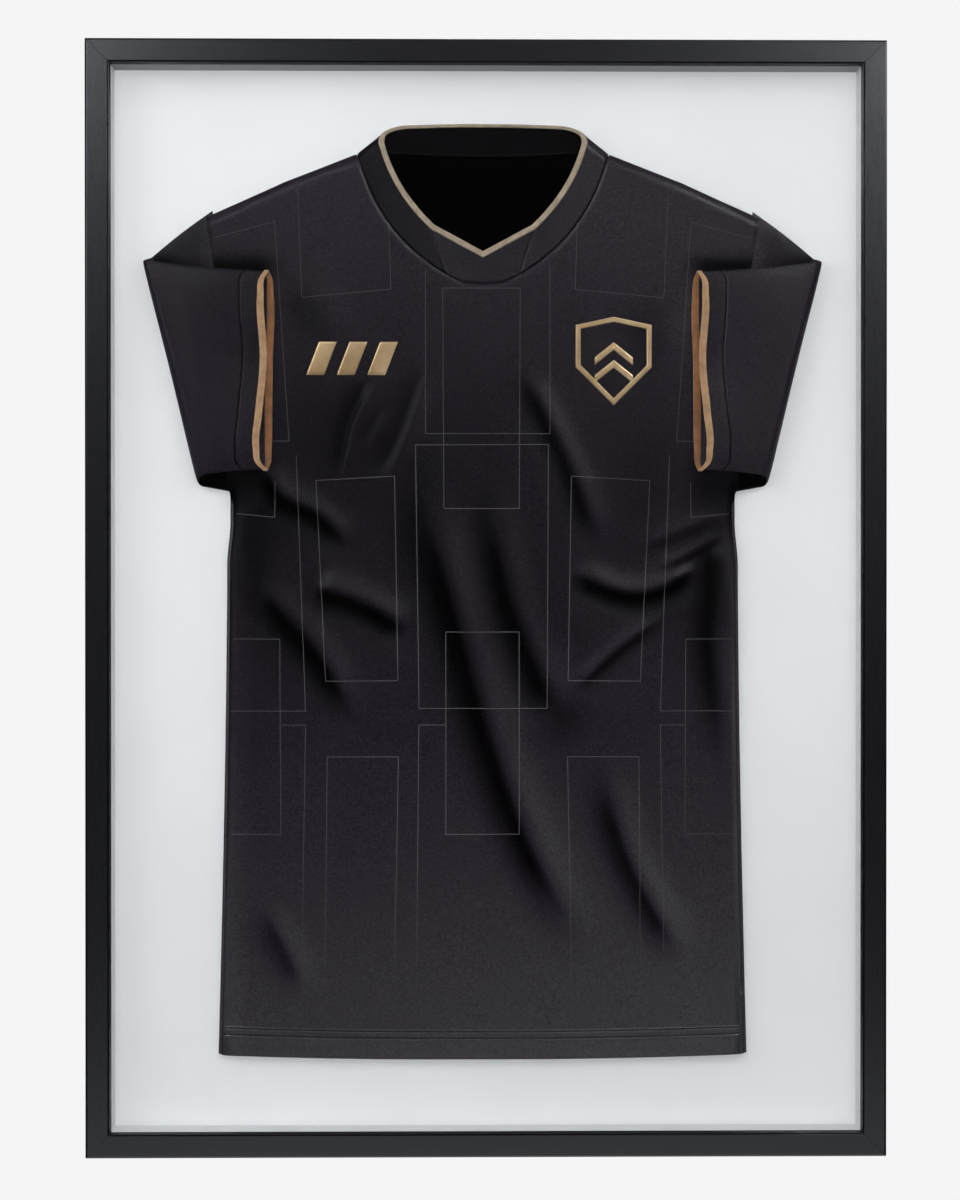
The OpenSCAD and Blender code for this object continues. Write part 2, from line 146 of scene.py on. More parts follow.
def soft_box(name, place, aim, size, power, tint=(1, 1, 1), shadow=True):
    """A square area light at place, turned so that its -Z axis runs along aim minus place; a
    fill light casts no shadow."""
    data = bpy.data.lights.new(name, "AREA")
    data.use_shadow = shadow
    data.size = size
    data.energy = power
    data.color = tint
    lamp = bpy.data.objects.new(name, data)
    lamp.location = place
    lamp.rotation_euler = (Vector(aim) - Vector(place)).to_track_quat("-Z", "Y").to_euler()
    scene.collection.objects.link(lamp)
    print(name, power, "W")
    return lamp


soft_box("key_right", (1.25, -2.15, 1.25), (0, 0, 0.0), 0.8, 3.5, WARM)
soft_box("key_right_fill", (1.2, -2.2, 1.3), (0, 0, 0.0), 0.9, 20, WARM, shadow=False)
soft_box("fill_left", (-1.8, -1.7, 0.9), (0, 0, 0.05), 0.9, 5, COOL)
soft_box("fill_left_wide", (-1.8, -1.6, 0.9), (0, 0, 0.05), 1.0, 16, COOL, shadow=False)
soft_box("rim_left", (-0.85, -2.3, 1.1), (0, 0, 0.1), 0.4, 5.0, COOL, shadow=False)
low = soft_box("low_strip", (0, -2.35, -1.25), (0, 0, -0.3), 0.5, 4.9, (0.99, 0.99, 1.0), False)
low.data.shape = "RECTANGLE"
low.data.size, low.data.size_y = 2.2, 0.5
soft_box("edge_right", (1.5, 0.05, 0.95), (0.31, -0.02, 0.2), 0.9, 5)
soft_box("back_fill", (0.6, 2.2, 1.2), (0, 0, 0), 1.2, 30)


# %% [markdown]
# ## Mesh helpers
# Almost every piece here is a grid of points worked out as whole arrays: rows run one way over
# the surface and columns the other. One helper joins the grid into quads, another turns points
# and quads into a piece that rides on the CAD body.

# %% Grids and pieces
def quads(rows, columns, closed=False):
    """Quads of a rows by columns grid: point (i, j) has number i times columns plus j, and each
    quad joins it to its neighbours. Closed joins the last column back to the first."""
    i = np.arange(rows - 1)[:, None]
    j = np.arange(columns if closed else columns - 1)[None, :]
    k = (j + 1) % columns
    faces = np.stack([i * columns + j, i * columns + k, (i + 1) * columns + k,
                      (i + 1) * columns + j], axis=-1)
    return faces.reshape(-1, 4)


def as_piece(name, points, faces, material, slot, replaced=(), sharp=40, outward=False):
    """A mesh piece from points in millimetres, smooth except at edges sharper than sharp degrees.
    It rides on the frame's body and takes the place of the CAD nodes named in replaced."""
    mesh = bpy.data.meshes.new(name)
    mesh.from_pydata((np.asarray(points).reshape(-1, 3) * MM).tolist(), [],
                     [list(map(int, face)) for face in faces])
    mesh.materials.append(material)
    piece = bpy.data.objects.new(name, mesh)
    scene.collection.objects.link(piece)
    if outward:
        work = bmesh.new()
        work.from_mesh(mesh)
        bmesh.ops.recalc_face_normals(work, faces=work.faces)
        work.to_mesh(mesh)
        work.free()
    mesh.shade_smooth()
    mesh.set_sharp_from_angle(angle=math.radians(sharp))
    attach(piece, BODY)
    if replaced:
        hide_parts(*replaced)
    print(name, len(mesh.polygons), "faces")
    return piece


def join_parts(parts):
    """Several (points, faces) pairs as one pair: each part's face numbers are raised by the
    number of points before it."""
    points, faces, count = [], [], 0
    for part_points, part_faces in parts:
        part_points = np.asarray(part_points, float).reshape(-1, 3)
        points.append(part_points)
        faces += [[int(v) + count for v in face] for face in part_faces]
        count += len(part_points)
    return np.concatenate(points), faces


def bezier(a, b, c, steps):
    """Quadratic curve from a to c pulled towards b: a, b and c weighted by (1-t) squared, twice
    t times (1-t), and t squared."""
    t = np.linspace(0, 1, steps)[:, None]
    return (1 - t) ** 2 * np.array(a) + 2 * t * (1 - t) * np.array(b) + t ** 2 * np.array(c)


def smooth_step(low, high, value):
    """0 below low, 1 above high, and between them three t squared minus two t cubed."""
    t = np.clip((value - low) / (high - low), 0, 1)
    return t * t * (3 - 2 * t)


print("a 3 by 4 grid has", len(quads(3, 4)), "quads, or", len(quads(3, 4, closed=True)), "closed")

# %% [markdown]
# ## Shader groups
# Three effects turn up in many materials, so each is a node group: the stitches of a knitted
# cloth, a mottle that varies colour and roughness a little, and long fine grain. They read
# Object coordinates, which stay put because each piece's object sits at the origin.

# %% Group helper
def new_group(name, inputs, outputs):
    """An empty shader node group with float inputs (name, default) and outputs (name, type)."""
    group = bpy.data.node_groups.new(name, "ShaderNodeTree")
    for label, default in inputs:
        socket = group.interface.new_socket(label, in_out="INPUT", socket_type="NodeSocketFloat")
        socket.default_value = default
    for label, kind in outputs:
        group.interface.new_socket(label, in_out="OUTPUT", socket_type=kind)
    return group, group.nodes.new("NodeGroupInput"), group.nodes.new("NodeGroupOutput")


def math_node(tree, kind, first, second=None):
    """A Math node whose inputs are sockets or numbers; returns its output."""
    node = tree.nodes.new("ShaderNodeMath")
    node.operation = kind
    for index, value in enumerate((first, second)):
        if value is None:
            continue
        if isinstance(value, (int, float)):
            node.inputs[index].default_value = value
        else:
            tree.links.new(value, node.inputs[index])
    return node.outputs[0]


# %% [markdown]
# ### Knit, mottle and grain
# A knit is columns of small V stitches, and each V is two threads that lean against each other.
# Waves across the columns and along the rows make that height without any picture. Mottle is
# plain cloud noise. Grain is noise whose coordinates are stretched first, by more across the
# fibres than along them.

# %% Knit, mottle and grain groups
def knit_group():
    """Rows of small V stitches: two slanted sine waves, one mirrored, under a column wave. The
    shade adds threads that run up and across: noise stretched nine times one way or the other."""
    tree, given, out = new_group(
        "knit", [("Stitch", 0.0009), ("Depth", 1.0)],
        [("Height", "NodeSocketFloat"), ("Shade", "NodeSocketFloat")])
    place = tree.nodes.new("ShaderNodeTexCoord")
    split = tree.nodes.new("ShaderNodeSeparateXYZ")
    tree.links.new(place.outputs["Object"], split.inputs[0])
    turn = 2 * math.pi
    column = math_node(tree, "DIVIDE", split.outputs["X"], given.outputs["Stitch"])
    row = math_node(tree, "DIVIDE", split.outputs["Z"], given.outputs["Stitch"])
    fold = math_node(tree, "ABSOLUTE", math_node(
        tree, "SUBTRACT", math_node(tree, "FRACT", column), 0.5))
    leg = math_node(tree, "SINE", math_node(
        tree, "MULTIPLY", math_node(tree, "ADD", row, fold), turn))
    wale = math_node(tree, "SINE", math_node(
        tree, "MULTIPLY", math_node(tree, "FRACT", column), math.pi))
    height = math_node(tree, "MULTIPLY", math_node(tree, "ADD", math_node(
        tree, "MULTIPLY", leg, 0.35), wale), given.outputs["Depth"])
    slubs = []
    for stretch in ((1300, 1300, 380), (380, 1300, 1300)):
        scaled = tree.nodes.new("ShaderNodeVectorMath")
        scaled.operation = "MULTIPLY"
        scaled.inputs[1].default_value = stretch
        tree.links.new(place.outputs["Object"], scaled.inputs[0])
        noise = tree.nodes.new("ShaderNodeTexNoise")
        noise.inputs["Scale"].default_value = 1
        noise.inputs["Detail"].default_value = 3
        tree.links.new(scaled.outputs[0], noise.inputs["Vector"])
        slubs.append(noise.outputs["Fac"])
    thread = math_node(tree, "ADD", slubs[0], slubs[1])
    shade = math_node(tree, "ADD", math_node(tree, "MULTIPLY", height, 0.2),
                      math_node(tree, "SUBTRACT", thread, 0.47))
    tree.links.new(height, out.inputs["Height"])
    tree.links.new(shade, out.inputs["Shade"])
    return tree


def mottle_group():
    """Soft clouds from about 0.3 to 0.7: fractal noise at Scale, with Detail halvings of size."""
    tree, given, out = new_group(
        "mottle", [("Scale", 12.0), ("Detail", 4.0)], [("Value", "NodeSocketFloat")])
    place = tree.nodes.new("ShaderNodeTexCoord")
    noise = tree.nodes.new("ShaderNodeTexNoise")
    tree.links.new(place.outputs["Object"], noise.inputs["Vector"])
    tree.links.new(given.outputs["Scale"], noise.inputs["Scale"])
    tree.links.new(given.outputs["Detail"], noise.inputs["Detail"])
    tree.links.new(noise.outputs["Fac"], out.inputs["Value"])
    return tree


def grain_group():
    """Noise read at x, y and z times their own scales; a small scale on one axis stretches the
    grain along that axis."""
    tree, given, out = new_group(
        "grain", [("Scale X", 60.0), ("Scale Y", 900.0), ("Scale Z", 900.0)],
        [("Value", "NodeSocketFloat")])
    place = tree.nodes.new("ShaderNodeTexCoord")
    split = tree.nodes.new("ShaderNodeSeparateXYZ")
    pack = tree.nodes.new("ShaderNodeCombineXYZ")
    tree.links.new(place.outputs["Object"], split.inputs[0])
    for axis in "XYZ":
        tree.links.new(math_node(tree, "MULTIPLY", split.outputs[axis],
                                 given.outputs["Scale " + axis]), pack.inputs[axis])
    noise = tree.nodes.new("ShaderNodeTexNoise")
    noise.inputs["Scale"].default_value = 1
    noise.inputs["Detail"].default_value = 5
    tree.links.new(pack.outputs[0], noise.inputs["Vector"])
    tree.links.new(noise.outputs["Fac"], out.inputs["Value"])
    return tree


KNIT, MOTTLE, GRAIN = knit_group(), mottle_group(), grain_group()
print("groups:", [group.name for group in (KNIT, MOTTLE, GRAIN)])

# %% [markdown]
# ## Materials
# A finish is built up from the same few steps: a shader, a group that varies its colour, the
# same or another group for roughness, and a bump. The small class keeps those steps short.

# %% Material builder
class Finish:
    """A material under construction, with short calls for the usual links."""

    def __init__(self, name, roughness=0.5, metallic=0.0, **sockets):
        self.material = bpy.data.materials.new(name)
        self.material.use_nodes = True
        self.tree = self.material.node_tree
        self.shader = self.tree.nodes["Principled BSDF"]
        self.shader.inputs["Roughness"].default_value = roughness
        self.shader.inputs["Metallic"].default_value = metallic
        for label, value in sockets.items():
            self.shader.inputs[label.replace("_", " ")].default_value = value

    def group(self, group, output, **values):
        """Places a node group and returns one of its outputs."""
        node = self.tree.nodes.new("ShaderNodeGroup")
        node.node_tree = group
        for label, value in values.items():
            node.inputs[label.replace("_", " ")].default_value = value
        return node.outputs[output]

    def spread(self, value, low, high, start=0.3, end=0.7):
        """Maps a value between start and end onto low to high."""
        node = self.tree.nodes.new("ShaderNodeMapRange")
        for label, number in (("From Min", start), ("From Max", end), ("To Min", low),
                              ("To Max", high)):
            node.inputs[label].default_value = number
        self.tree.links.new(value, node.inputs["Value"])
        return node.outputs[0]

    def colours(self, value, dark, light, start=0.3, end=0.7):
        """Colour between dark and light as value goes from start to end."""
        mix = self.tree.nodes.new("ShaderNodeMix")
        mix.data_type = "RGBA"
        mix.inputs["A"].default_value = (*dark, 1)
        mix.inputs["B"].default_value = (*light, 1)
        self.tree.links.new(self.spread(value, 0, 1, start, end), mix.inputs["Factor"])
        return mix.outputs["Result"]

    def link(self, value, label):
        """Feeds a value or colour into the shader."""
        self.tree.links.new(value, self.shader.inputs[label])
        return self

    def bump(self, height, distance, strength=1.0):
        """Adds a bump of that height in metres on top of any bump before it."""
        node = self.tree.nodes.new("ShaderNodeBump")
        node.inputs["Strength"].default_value = strength
        node.inputs["Distance"].default_value = distance
        self.tree.links.new(height, node.inputs["Height"])
        held = self.shader.inputs["Normal"]
        if held.is_linked:
            self.tree.links.new(held.links[0].from_socket, node.inputs["Normal"])
        self.tree.links.new(node.outputs["Normal"], held)
        return self


print("material builder:", [step for step in vars(Finish) if not step.startswith("_")])

# %% [markdown]
# ### Paint on the moulding
# The rails are wood under thin black satin paint, so their grain shows in the gloss and hardly in
# the colour. Grain runs along a rail: the level rails stretch it along X and the upright ones
# along Z, so there are two paints. In the groove and on the inner edge the wood is only stained.

# %% Paint
def painted_wood(name, rough, **scales):
    """Satin black paint: roughness is rough plus or minus a hair, by the grain, and the same
    grain is a very shallow bump."""
    made = Finish(name, roughness=rough, Specular_IOR_Level=1.0, Coat_Weight=0.35,
                  Coat_Roughness=0.26)
    made.shader.inputs["Specular Tint"].default_value = (0.90, 0.94, 1.0, 1)
    grain = made.group(GRAIN, "Value", **scales)
    cloud = made.group(MOTTLE, "Value", Scale=9)
    made.link(made.colours(cloud, (0.0034, 0.0032, 0.0052), (0.0060, 0.0057, 0.0084)),
              "Base Color")
    hair = 0.012
    made.link(made.spread(grain, rough - hair, rough + hair), "Roughness")
    made.bump(grain, 0.000012, 0.25)
    return made.material


def bare_edge():
    """Dull black stain, a little lighter where the even grain is high, with no gloss at all."""
    made = Finish("stained_edge", roughness=0.85, Specular_IOR_Level=0.0)
    grain = made.group(GRAIN, "Value", Scale_X=300, Scale_Y=300, Scale_Z=300)
    made.link(made.colours(grain, (0.004, 0.004, 0.005), (0.010, 0.010, 0.011)), "Base Color")
    made.bump(grain, 0.00004, 0.5)
    return made.material


STAINED_EDGE = bare_edge()
LEVEL_PAINT = painted_wood("level_paint", 0.252, Scale_X=26, Scale_Y=700, Scale_Z=700)
UPRIGHT_PAINT = painted_wood("upright_paint", 0.278, Scale_X=700, Scale_Y=700, Scale_Z=26)
print("paints:", LEVEL_PAINT.name, UPRIGHT_PAINT.name, STAINED_EDGE.name)

# %% [markdown]
# ### Boards and pane
# Card, fibreboard and foam are pressed fibres or bubbles: a fine noise gives their bump and a
# slow one their clouds. The card is painted greyer near the edge of the opening and under the
# top lip, as painted shade where a deep box loses light. The pane refracts for the eye, but a
# Light Path node lets shadow rays straight through it, because refracted light would reach the
# board only as noise.

# %% Boards and pane
def rim_distance(tree, half_w, half_h):
    """Distances in metres, from the Object coordinates: to the nearest edge of an opening, and
    to its top edge."""
    place, split = tree.nodes.new("ShaderNodeTexCoord"), tree.nodes.new("ShaderNodeSeparateXYZ")
    tree.links.new(place.outputs["Object"], split.inputs[0])
    across = math_node(tree, "SUBTRACT", half_w, math_node(tree, "ABSOLUTE", split.outputs["X"]))
    up = math_node(tree, "SUBTRACT", half_h, math_node(tree, "ABSOLUTE", split.outputs["Z"]))
    below_top = math_node(tree, "SUBTRACT", half_h, split.outputs["Z"])
    return math_node(tree, "MINIMUM", across, up), below_top


def card(name, tone, painted_rim_shade, top_tone):
    """White card that goes from painted_rim_shade at the opening's edge to tone a few millimetres
    in, and from top_tone under the top lip in the same way: both are painted shade."""
    made = Finish(name, roughness=0.62, Specular_IOR_Level=0.3)
    cloud = made.group(MOTTLE, "Value", Scale=5, Detail=2)
    fibre = made.group(MOTTLE, "Value", Scale=700, Detail=3)
    tint = np.array([0.975, 0.99, 1.005])
    face = made.colours(cloud, tone * 0.98 * tint, tone * 1.02 * tint)
    inside, below_top = rim_distance(made.tree, clear_half_w * MM, clear_half_h * MM)
    # Painted shade: the colour is mixed towards painted_rim_shade near the opening's edge and
    # towards top_tone under the top lip.
    for distance, shaded, start, end in ((inside, painted_rim_shade, -0.003, 0.006),
                                         (below_top, top_tone, -0.001, 0.0045)):
        mix = made.tree.nodes.new("ShaderNodeMix")
        mix.data_type = "RGBA"
        mix.inputs["A"].default_value = (*(shaded * tint), 1)
        made.tree.links.new(made.spread(distance, 0, 1, start, end), mix.inputs["Factor"])
        made.tree.links.new(face, mix.inputs["B"])
        face = mix.outputs["Result"]
    made.link(face, "Base Color")
    made.link(made.spread(fibre, 0.58, 0.68), "Roughness")
    made.bump(fibre, 0.00004, 0.5)
    return made.material


def fibreboard():
    """Brown board: colour and roughness follow a little more than half fine fibres, rest clouds."""
    made = Finish("fibreboard", roughness=0.7)
    fibre = made.group(MOTTLE, "Value", Scale=420, Detail=6)
    cloud = made.group(MOTTLE, "Value", Scale=14, Detail=5)
    both = math_node(made.tree, "ADD", math_node(made.tree, "MULTIPLY", fibre, 0.55),
                     math_node(made.tree, "MULTIPLY", cloud, 0.45))
    made.link(made.colours(both, (0.20, 0.115, 0.055), (0.40, 0.265, 0.145), 0.36, 0.64),
              "Base Color")
    made.link(made.spread(fibre, 0.6, 0.82), "Roughness")
    made.bump(fibre, 0.00012, 0.6)
    return made.material


def foam_white():
    """White foam: cells half a millimetre to two millimetres across, in colour and in bump."""
    made = Finish("foam_white", roughness=0.75)
    cell = made.group(MOTTLE, "Value", Scale=500, Detail=2)
    made.link(made.colours(cell, (0.70, 0.70, 0.685), (0.80, 0.80, 0.785)), "Base Color")
    made.bump(cell, 0.0001, 0.5)
    return made.material


def clear_acrylic():
    """Clear sheet, smeared by a slow cloud from mirror smooth to barely rough; shadow rays meet
    a transparent shader in its place."""
    made = Finish("clear_acrylic", roughness=0.02, Transmission_Weight=1.0, IOR=1.49,
                  Specular_IOR_Level=0.08)
    made.shader.inputs["Base Color"].default_value = (0.995, 0.998, 1.0, 1)
    smear = made.group(MOTTLE, "Value", Scale=3, Detail=2)
    made.link(made.spread(smear, 0.0, 0.02), "Roughness")
    tree = made.tree
    clear, mix, path = (tree.nodes.new("ShaderNodeBsdfTransparent"),
                        tree.nodes.new("ShaderNodeMixShader"),
                        tree.nodes.new("ShaderNodeLightPath"))
    tree.links.new(path.outputs["Is Shadow Ray"], mix.inputs["Fac"])
    tree.links.new(made.shader.outputs["BSDF"], mix.inputs[1])
    tree.links.new(clear.outputs["BSDF"], mix.inputs[2])
    tree.links.new(mix.outputs["Shader"], tree.nodes["Material Output"].inputs["Surface"])
    return made.material


# The white card, with painted shade at the opening's edge and under the top lip.
CARD = card("white_card", 0.83, 0.70, 0.80)
# The spacer walls are the same white card painted darker as painted shade, and the top wall
# darkest, as painted shade under the top lip.
SHADE_PAINTED_SPACER = card("spacer_card", 0.57, 0.57, 0.30)
SHADE_PAINTED_TOP_SPACER = card("shaded_spacer_card", 0.25, 0.25, 0.25)
FIBREBOARD, FOAM, ACRYLIC = fibreboard(), foam_white(), clear_acrylic()
print("boards:", [m.name for m in (CARD, SHADE_PAINTED_SPACER, SHADE_PAINTED_TOP_SPACER, FIBREBOARD, FOAM, ACRYLIC)])

# %% [markdown]
# ### Metal and felt
# The hardware on the back is zinc plated steel, which is cloudy from its bath, and the wall pads
# are felt. Metal is all reflection, so the clouds go into its roughness as well as its colour.
# Felt is all fibre ends, so it gets sheen and a deep fine bump.

# %% Metal and felt
def plated_steel(name, dark, light, rough):
    """Plated metal: clouds carry the colour from dark to light and the roughness from a little
    under rough to a little over it, and very fine noise is the bump."""
    made = Finish(name, roughness=rough, metallic=1.0)
    cloud = made.group(MOTTLE, "Value", Scale=60, Detail=5)
    fine = made.group(MOTTLE, "Value", Scale=1400, Detail=2)
    made.link(made.colours(cloud, dark, light), "Base Color")
    made.link(made.spread(cloud, rough - 0.08, rough + 0.10), "Roughness")
    made.bump(fine, 0.00002, 0.4)
    return made.material


def felt():
    """Black felt: fine noise lifts the colour and the bump together, under a soft sheen."""
    made = Finish("felt", roughness=0.95, Sheen_Weight=0.5, Sheen_Roughness=0.5)
    fluff = made.group(MOTTLE, "Value", Scale=900, Detail=6)
    made.link(made.colours(fluff, (0.012, 0.012, 0.013), (0.045, 0.045, 0.047)), "Base Color")
    made.bump(fluff, 0.0004, 0.9)
    return made.material


ZINC = plated_steel("zinc_plate", (0.50, 0.51, 0.53), (0.68, 0.69, 0.70), 0.34)
SCREW = plated_steel("screw_steel", (0.42, 0.43, 0.45), (0.60, 0.60, 0.61), 0.30)
FELT = felt()
print("metal and felt:", ZINC.name, SCREW.name, FELT.name)

# %% [markdown]
# ### Black knit
# The jersey is fine black polyester. Such cloth is seen by how its fibres shine and hardly by
# its colour, so the shine is a rough coat, and the coat's weight comes from a lustre
# attribute that each piece carries, which paints the shade and highlights of the folds into the
# shine. Where that attribute is near nought the colour is painted black as shade. The collar has
# a coarser stitch, and the inside is painted darker as shade and hardly shines.

# %% Knit materials
def knitted(name, dark, light, rough=0.6, stitch=0.0011, lustre=True):
    """Fine black knit: coat weight is the lustre attribute times the thread shade, so the
    attribute paints shade and highlights into the shine, and the base colour fades to black, as
    painted shade, where the attribute falls under a third."""
    made = Finish(name, roughness=rough, Specular_IOR_Level=0.008, Coat_IOR=1.8,
                  Coat_Roughness=0.42)
    shade = made.group(KNIT, "Shade", Stitch=stitch)
    height = made.group(KNIT, "Height", Stitch=stitch)
    colour = made.colours(shade, dark, light, 0.3, 0.95)
    made.link(made.spread(shade, rough - 0.06, rough + 0.08), "Roughness")
    if not lustre:
        made.link(colour, "Base Color")
    else:
        # Painted light: the lustre attribute weights the coat, and where it is low the crease mix
        # paints the colour black as shade.
        mask = made.tree.nodes.new("ShaderNodeAttribute")
        mask.attribute_name = "lustre"
        crease = made.tree.nodes.new("ShaderNodeMix")
        crease.data_type = "RGBA"
        crease.inputs["A"].default_value = (0.0004, 0.0003, 0.0005, 1)
        made.tree.links.new(made.spread(mask.outputs["Fac"], 0, 1, 0.03, 0.3),
                            crease.inputs["Factor"])
        made.tree.links.new(colour, crease.inputs["B"])
        made.link(crease.outputs["Result"], "Base Color")
        made.link(math_node(made.tree, "MULTIPLY", mask.outputs["Fac"],
                            made.spread(shade, 0.6, 1.35, 0.3, 0.95)), "Coat Weight")
    made.bump(height, 0.00008, 0.6)
    return made.material


JERSEY = knitted("jersey_knit", (0.0026, 0.0009, 0.0050), (0.0050, 0.0019, 0.0088))
COLLAR = knitted("collar_knit", (0.0026, 0.0011, 0.0046), (0.0050, 0.0024, 0.0080),
                 stitch=0.0014)
# The inside of the jersey is painted darker as shade.
SHADE_PAINTED_INSIDE = knitted("inside_knit_painted_shade", (0.0006, 0.0005, 0.0007), (0.0014, 0.0012, 0.0016), 0.9,
                 lustre=False)
print("knits:", JERSEY.name, COLLAR.name, SHADE_PAINTED_INSIDE.name)

# %% [markdown]
# ### Bindings, foil and print
# The bindings are ribbed tape, and their ribs follow a UV map along the tape, so they turn every
# corner with it. The chest marks are brushed gold film: mostly metal, with fine long scratches.
# The printed lines are grey ink, and an ink attribute says how much of it is left.

# %% Bindings, foil and print
def woven_trim(name, dark, light, painted_inner_shade=None):
    """Ribbed binding: the weave is a sine along the tape, six tenths, and a sine across it, four
    tenths. A painted_inner_shade colour, painted shade on the inner face of the tape, takes over
    in the last part of the width."""
    made = Finish(name, roughness=0.62, Sheen_Weight=0.25, Sheen_Roughness=0.4)
    tree = made.tree
    along, split = tree.nodes.new("ShaderNodeUVMap"), tree.nodes.new("ShaderNodeSeparateXYZ")
    along.uv_map = "along"
    tree.links.new(along.outputs["UV"], split.inputs[0])
    rib = math_node(tree, "SINE", math_node(tree, "MULTIPLY", split.outputs["X"], 2 * math.pi))
    strand = math_node(tree, "SINE", math_node(tree, "MULTIPLY", split.outputs["Y"],
                                               6 * math.pi))
    weave = math_node(tree, "ADD", math_node(tree, "MULTIPLY", rib, 0.6),
                      math_node(tree, "MULTIPLY", strand, 0.4))
    cloud = made.group(MOTTLE, "Value", Scale=160, Detail=4)
    blend = math_node(tree, "ADD", math_node(tree, "MULTIPLY", weave, 0.16), cloud)
    face = made.colours(blend, dark, light, 0.28, 0.72)
    if painted_inner_shade:
        mix = tree.nodes.new("ShaderNodeMix")
        mix.data_type = "RGBA"
        tree.links.new(made.spread(split.outputs["Y"], 0, 1, 0.55, 0.62), mix.inputs["Factor"])
        tree.links.new(face, mix.inputs["A"])
        tree.links.new(made.colours(blend, *painted_inner_shade, 0.28, 0.72), mix.inputs["B"])
        face = mix.outputs["Result"]
    made.link(face, "Base Color")
    made.bump(weave, 0.00012, 0.6)
    return made.material


def gold_foil():
    """Brushed gold film: clouds carry its colour, long scratches its roughness and bump."""
    made = Finish("gold_foil", roughness=0.42, metallic=0.85)
    brush = made.group(GRAIN, "Value", Scale_X=30, Scale_Y=900, Scale_Z=900)
    cloud = made.group(MOTTLE, "Value", Scale=30)
    made.link(made.colours(cloud, (0.36, 0.245, 0.125), (0.62, 0.46, 0.27)), "Base Color")
    made.link(made.spread(brush, 0.34, 0.52), "Roughness")
    made.bump(brush, 0.00004, 0.5)
    return made.material


def printed_line():
    """Thin grey print: its strength is the ink attribute times a cloud of about one."""
    made = Finish("printed_line", roughness=0.55)
    tree = made.tree
    ink = tree.nodes.new("ShaderNodeAttribute")
    ink.attribute_name = "ink"
    cloud = made.group(MOTTLE, "Value", Scale=300, Detail=3)
    strength = math_node(tree, "MULTIPLY", ink.outputs["Fac"],
                         math_node(tree, "ADD", cloud, 0.45))
    made.link(made.colours(strength, (0.010, 0.009, 0.012), (0.150, 0.142, 0.150), 0, 1),
              "Base Color")
    return made.material


NECK_TRIM = woven_trim("neck_binding", (0.225, 0.176, 0.118), (0.38, 0.31, 0.222))
# Painted shade: the inner face of the cuff tape is painted darker and browner, inside the sleeve's
# opening.
CUFF_TRIM = woven_trim("cuff_binding", (0.27, 0.152, 0.070), (0.42, 0.257, 0.130),
                       painted_inner_shade=((0.12, 0.043, 0.009), (0.23, 0.088, 0.020)))
FOIL, PRINT = gold_foil(), printed_line()
print("trims:", NECK_TRIM.name, CUFF_TRIM.name, FOIL.name, PRINT.name)

# %% [markdown]
# ## CAD parts that keep their shape
# Boards, pane, spacers and the small hardware on the back are right as the CAD makes them, so
# they only get a finish.

# %% Finishes for CAD nodes
def finish_node(name, material):
    """Gives a CAD node one material."""
    mesh = nodes[name].data
    mesh.materials.clear()
    mesh.materials.append(material)


# Painted shade: the side and bottom spacer walls get the darker painted card.
for name in ("spacer_bottom", "spacer_left", "spacer_right"):
    finish_node(name, SHADE_PAINTED_SPACER)
for name in nodes:
    if name.startswith(("button_", "strap_", "ring_", "corner_")):
        finish_node(name, SCREW if name.endswith("screws") else ZINC)
# The top spacer wall gets the darkest card, as painted shade under the top lip.
for name, material in (("mount_board", CARD), ("spacer_top", SHADE_PAINTED_TOP_SPACER),
                       ("back_board", FIBREBOARD), ("clear_pane", ACRYLIC), ("wall_pads", FELT),
                       ("form_board", FOAM), ("holding_pins", SCREW)):
    finish_node(name, material)
print("CAD nodes:", len(nodes))

# %% [markdown]
# ## Moulding
# The section of a picture moulding is drawn once, with its small radii, and carried along each
# side. Its two ends lean at 45 degrees because a point further in from the outer edge also stops
# further short. A hair of space and a tiny round at each end make the mitre line show.

# %% Moulding section
HOLD = 0.1


def rounded(corners, steps=4):
    """Outline with each corner (x, y, radius) replaced by a curve that starts and ends radius
    over the tangent of half the corner from it. Every long flat gets a point HOLD millimetres
    inside each end, which keeps it flat when shaded smooth."""
    corners = [np.array(c, float) for c in corners]
    out = []
    for i, corner in enumerate(corners):
        before, after, radius = corners[i - 1][:2], corners[(i + 1) % len(corners)][:2], corner[2]
        here = corner[:2]
        if radius == 0:
            out.append(here)
            continue
        a, b = before - here, after - here
        a, b = a / np.linalg.norm(a), b / np.linalg.norm(b)
        half = math.acos(np.clip(a @ b, -1, 1)) / 2
        cut = min(radius / math.tan(half), 0.45 * min(np.linalg.norm(before - here),
                                                      np.linalg.norm(after - here)))
        out.extend(bezier(here + a * cut, here, here + b * cut, steps))
    held = []
    for here, after in zip(out, out[1:] + out[:1]):
        held.append(here)
        length = np.linalg.norm(after - here)
        if length > 1.0:
            held += [here + (after - here) * t for t in (HOLD / length, 1 - HOLD / length)]
    return np.array(held)


face_w = outer_half_w - clear_half_w
STEM = 15.0
BEVEL = 1.5
BEAD, GROOVE = 1.7, 0.9
section = rounded([
    (0, back_y, 0.8),
    (0, front_y + BEVEL, 0.5),
    (BEVEL, front_y, 0.5),
    (face_w - BEAD - GROOVE, front_y, 0.25),
    (face_w - BEAD - GROOVE, front_y + 1.0, 0.1),
    (face_w - BEAD, front_y + 1.0, 0.1),
    (face_w - BEAD, front_y + 0.4, 0.2),
    (face_w - BEAD + 0.4, front_y + 0.4, 0.3),
    (face_w, front_y + 2.3, 0.4),
    (face_w, pane_front_y, 0.2),
    (STEM, pane_front_y, 0),
    (STEM, back_y, 0.5)])
print("moulding section:", len(section), "points, face", face_w)

# %% [markdown]
# ### Four rails
# Each rail is one closed shell: rings of the section from end to end, with a cap on each end. A
# second, darker material goes on the faces in the groove and on the inner edge, picked by how far
# in and how deep each face's centre lies.

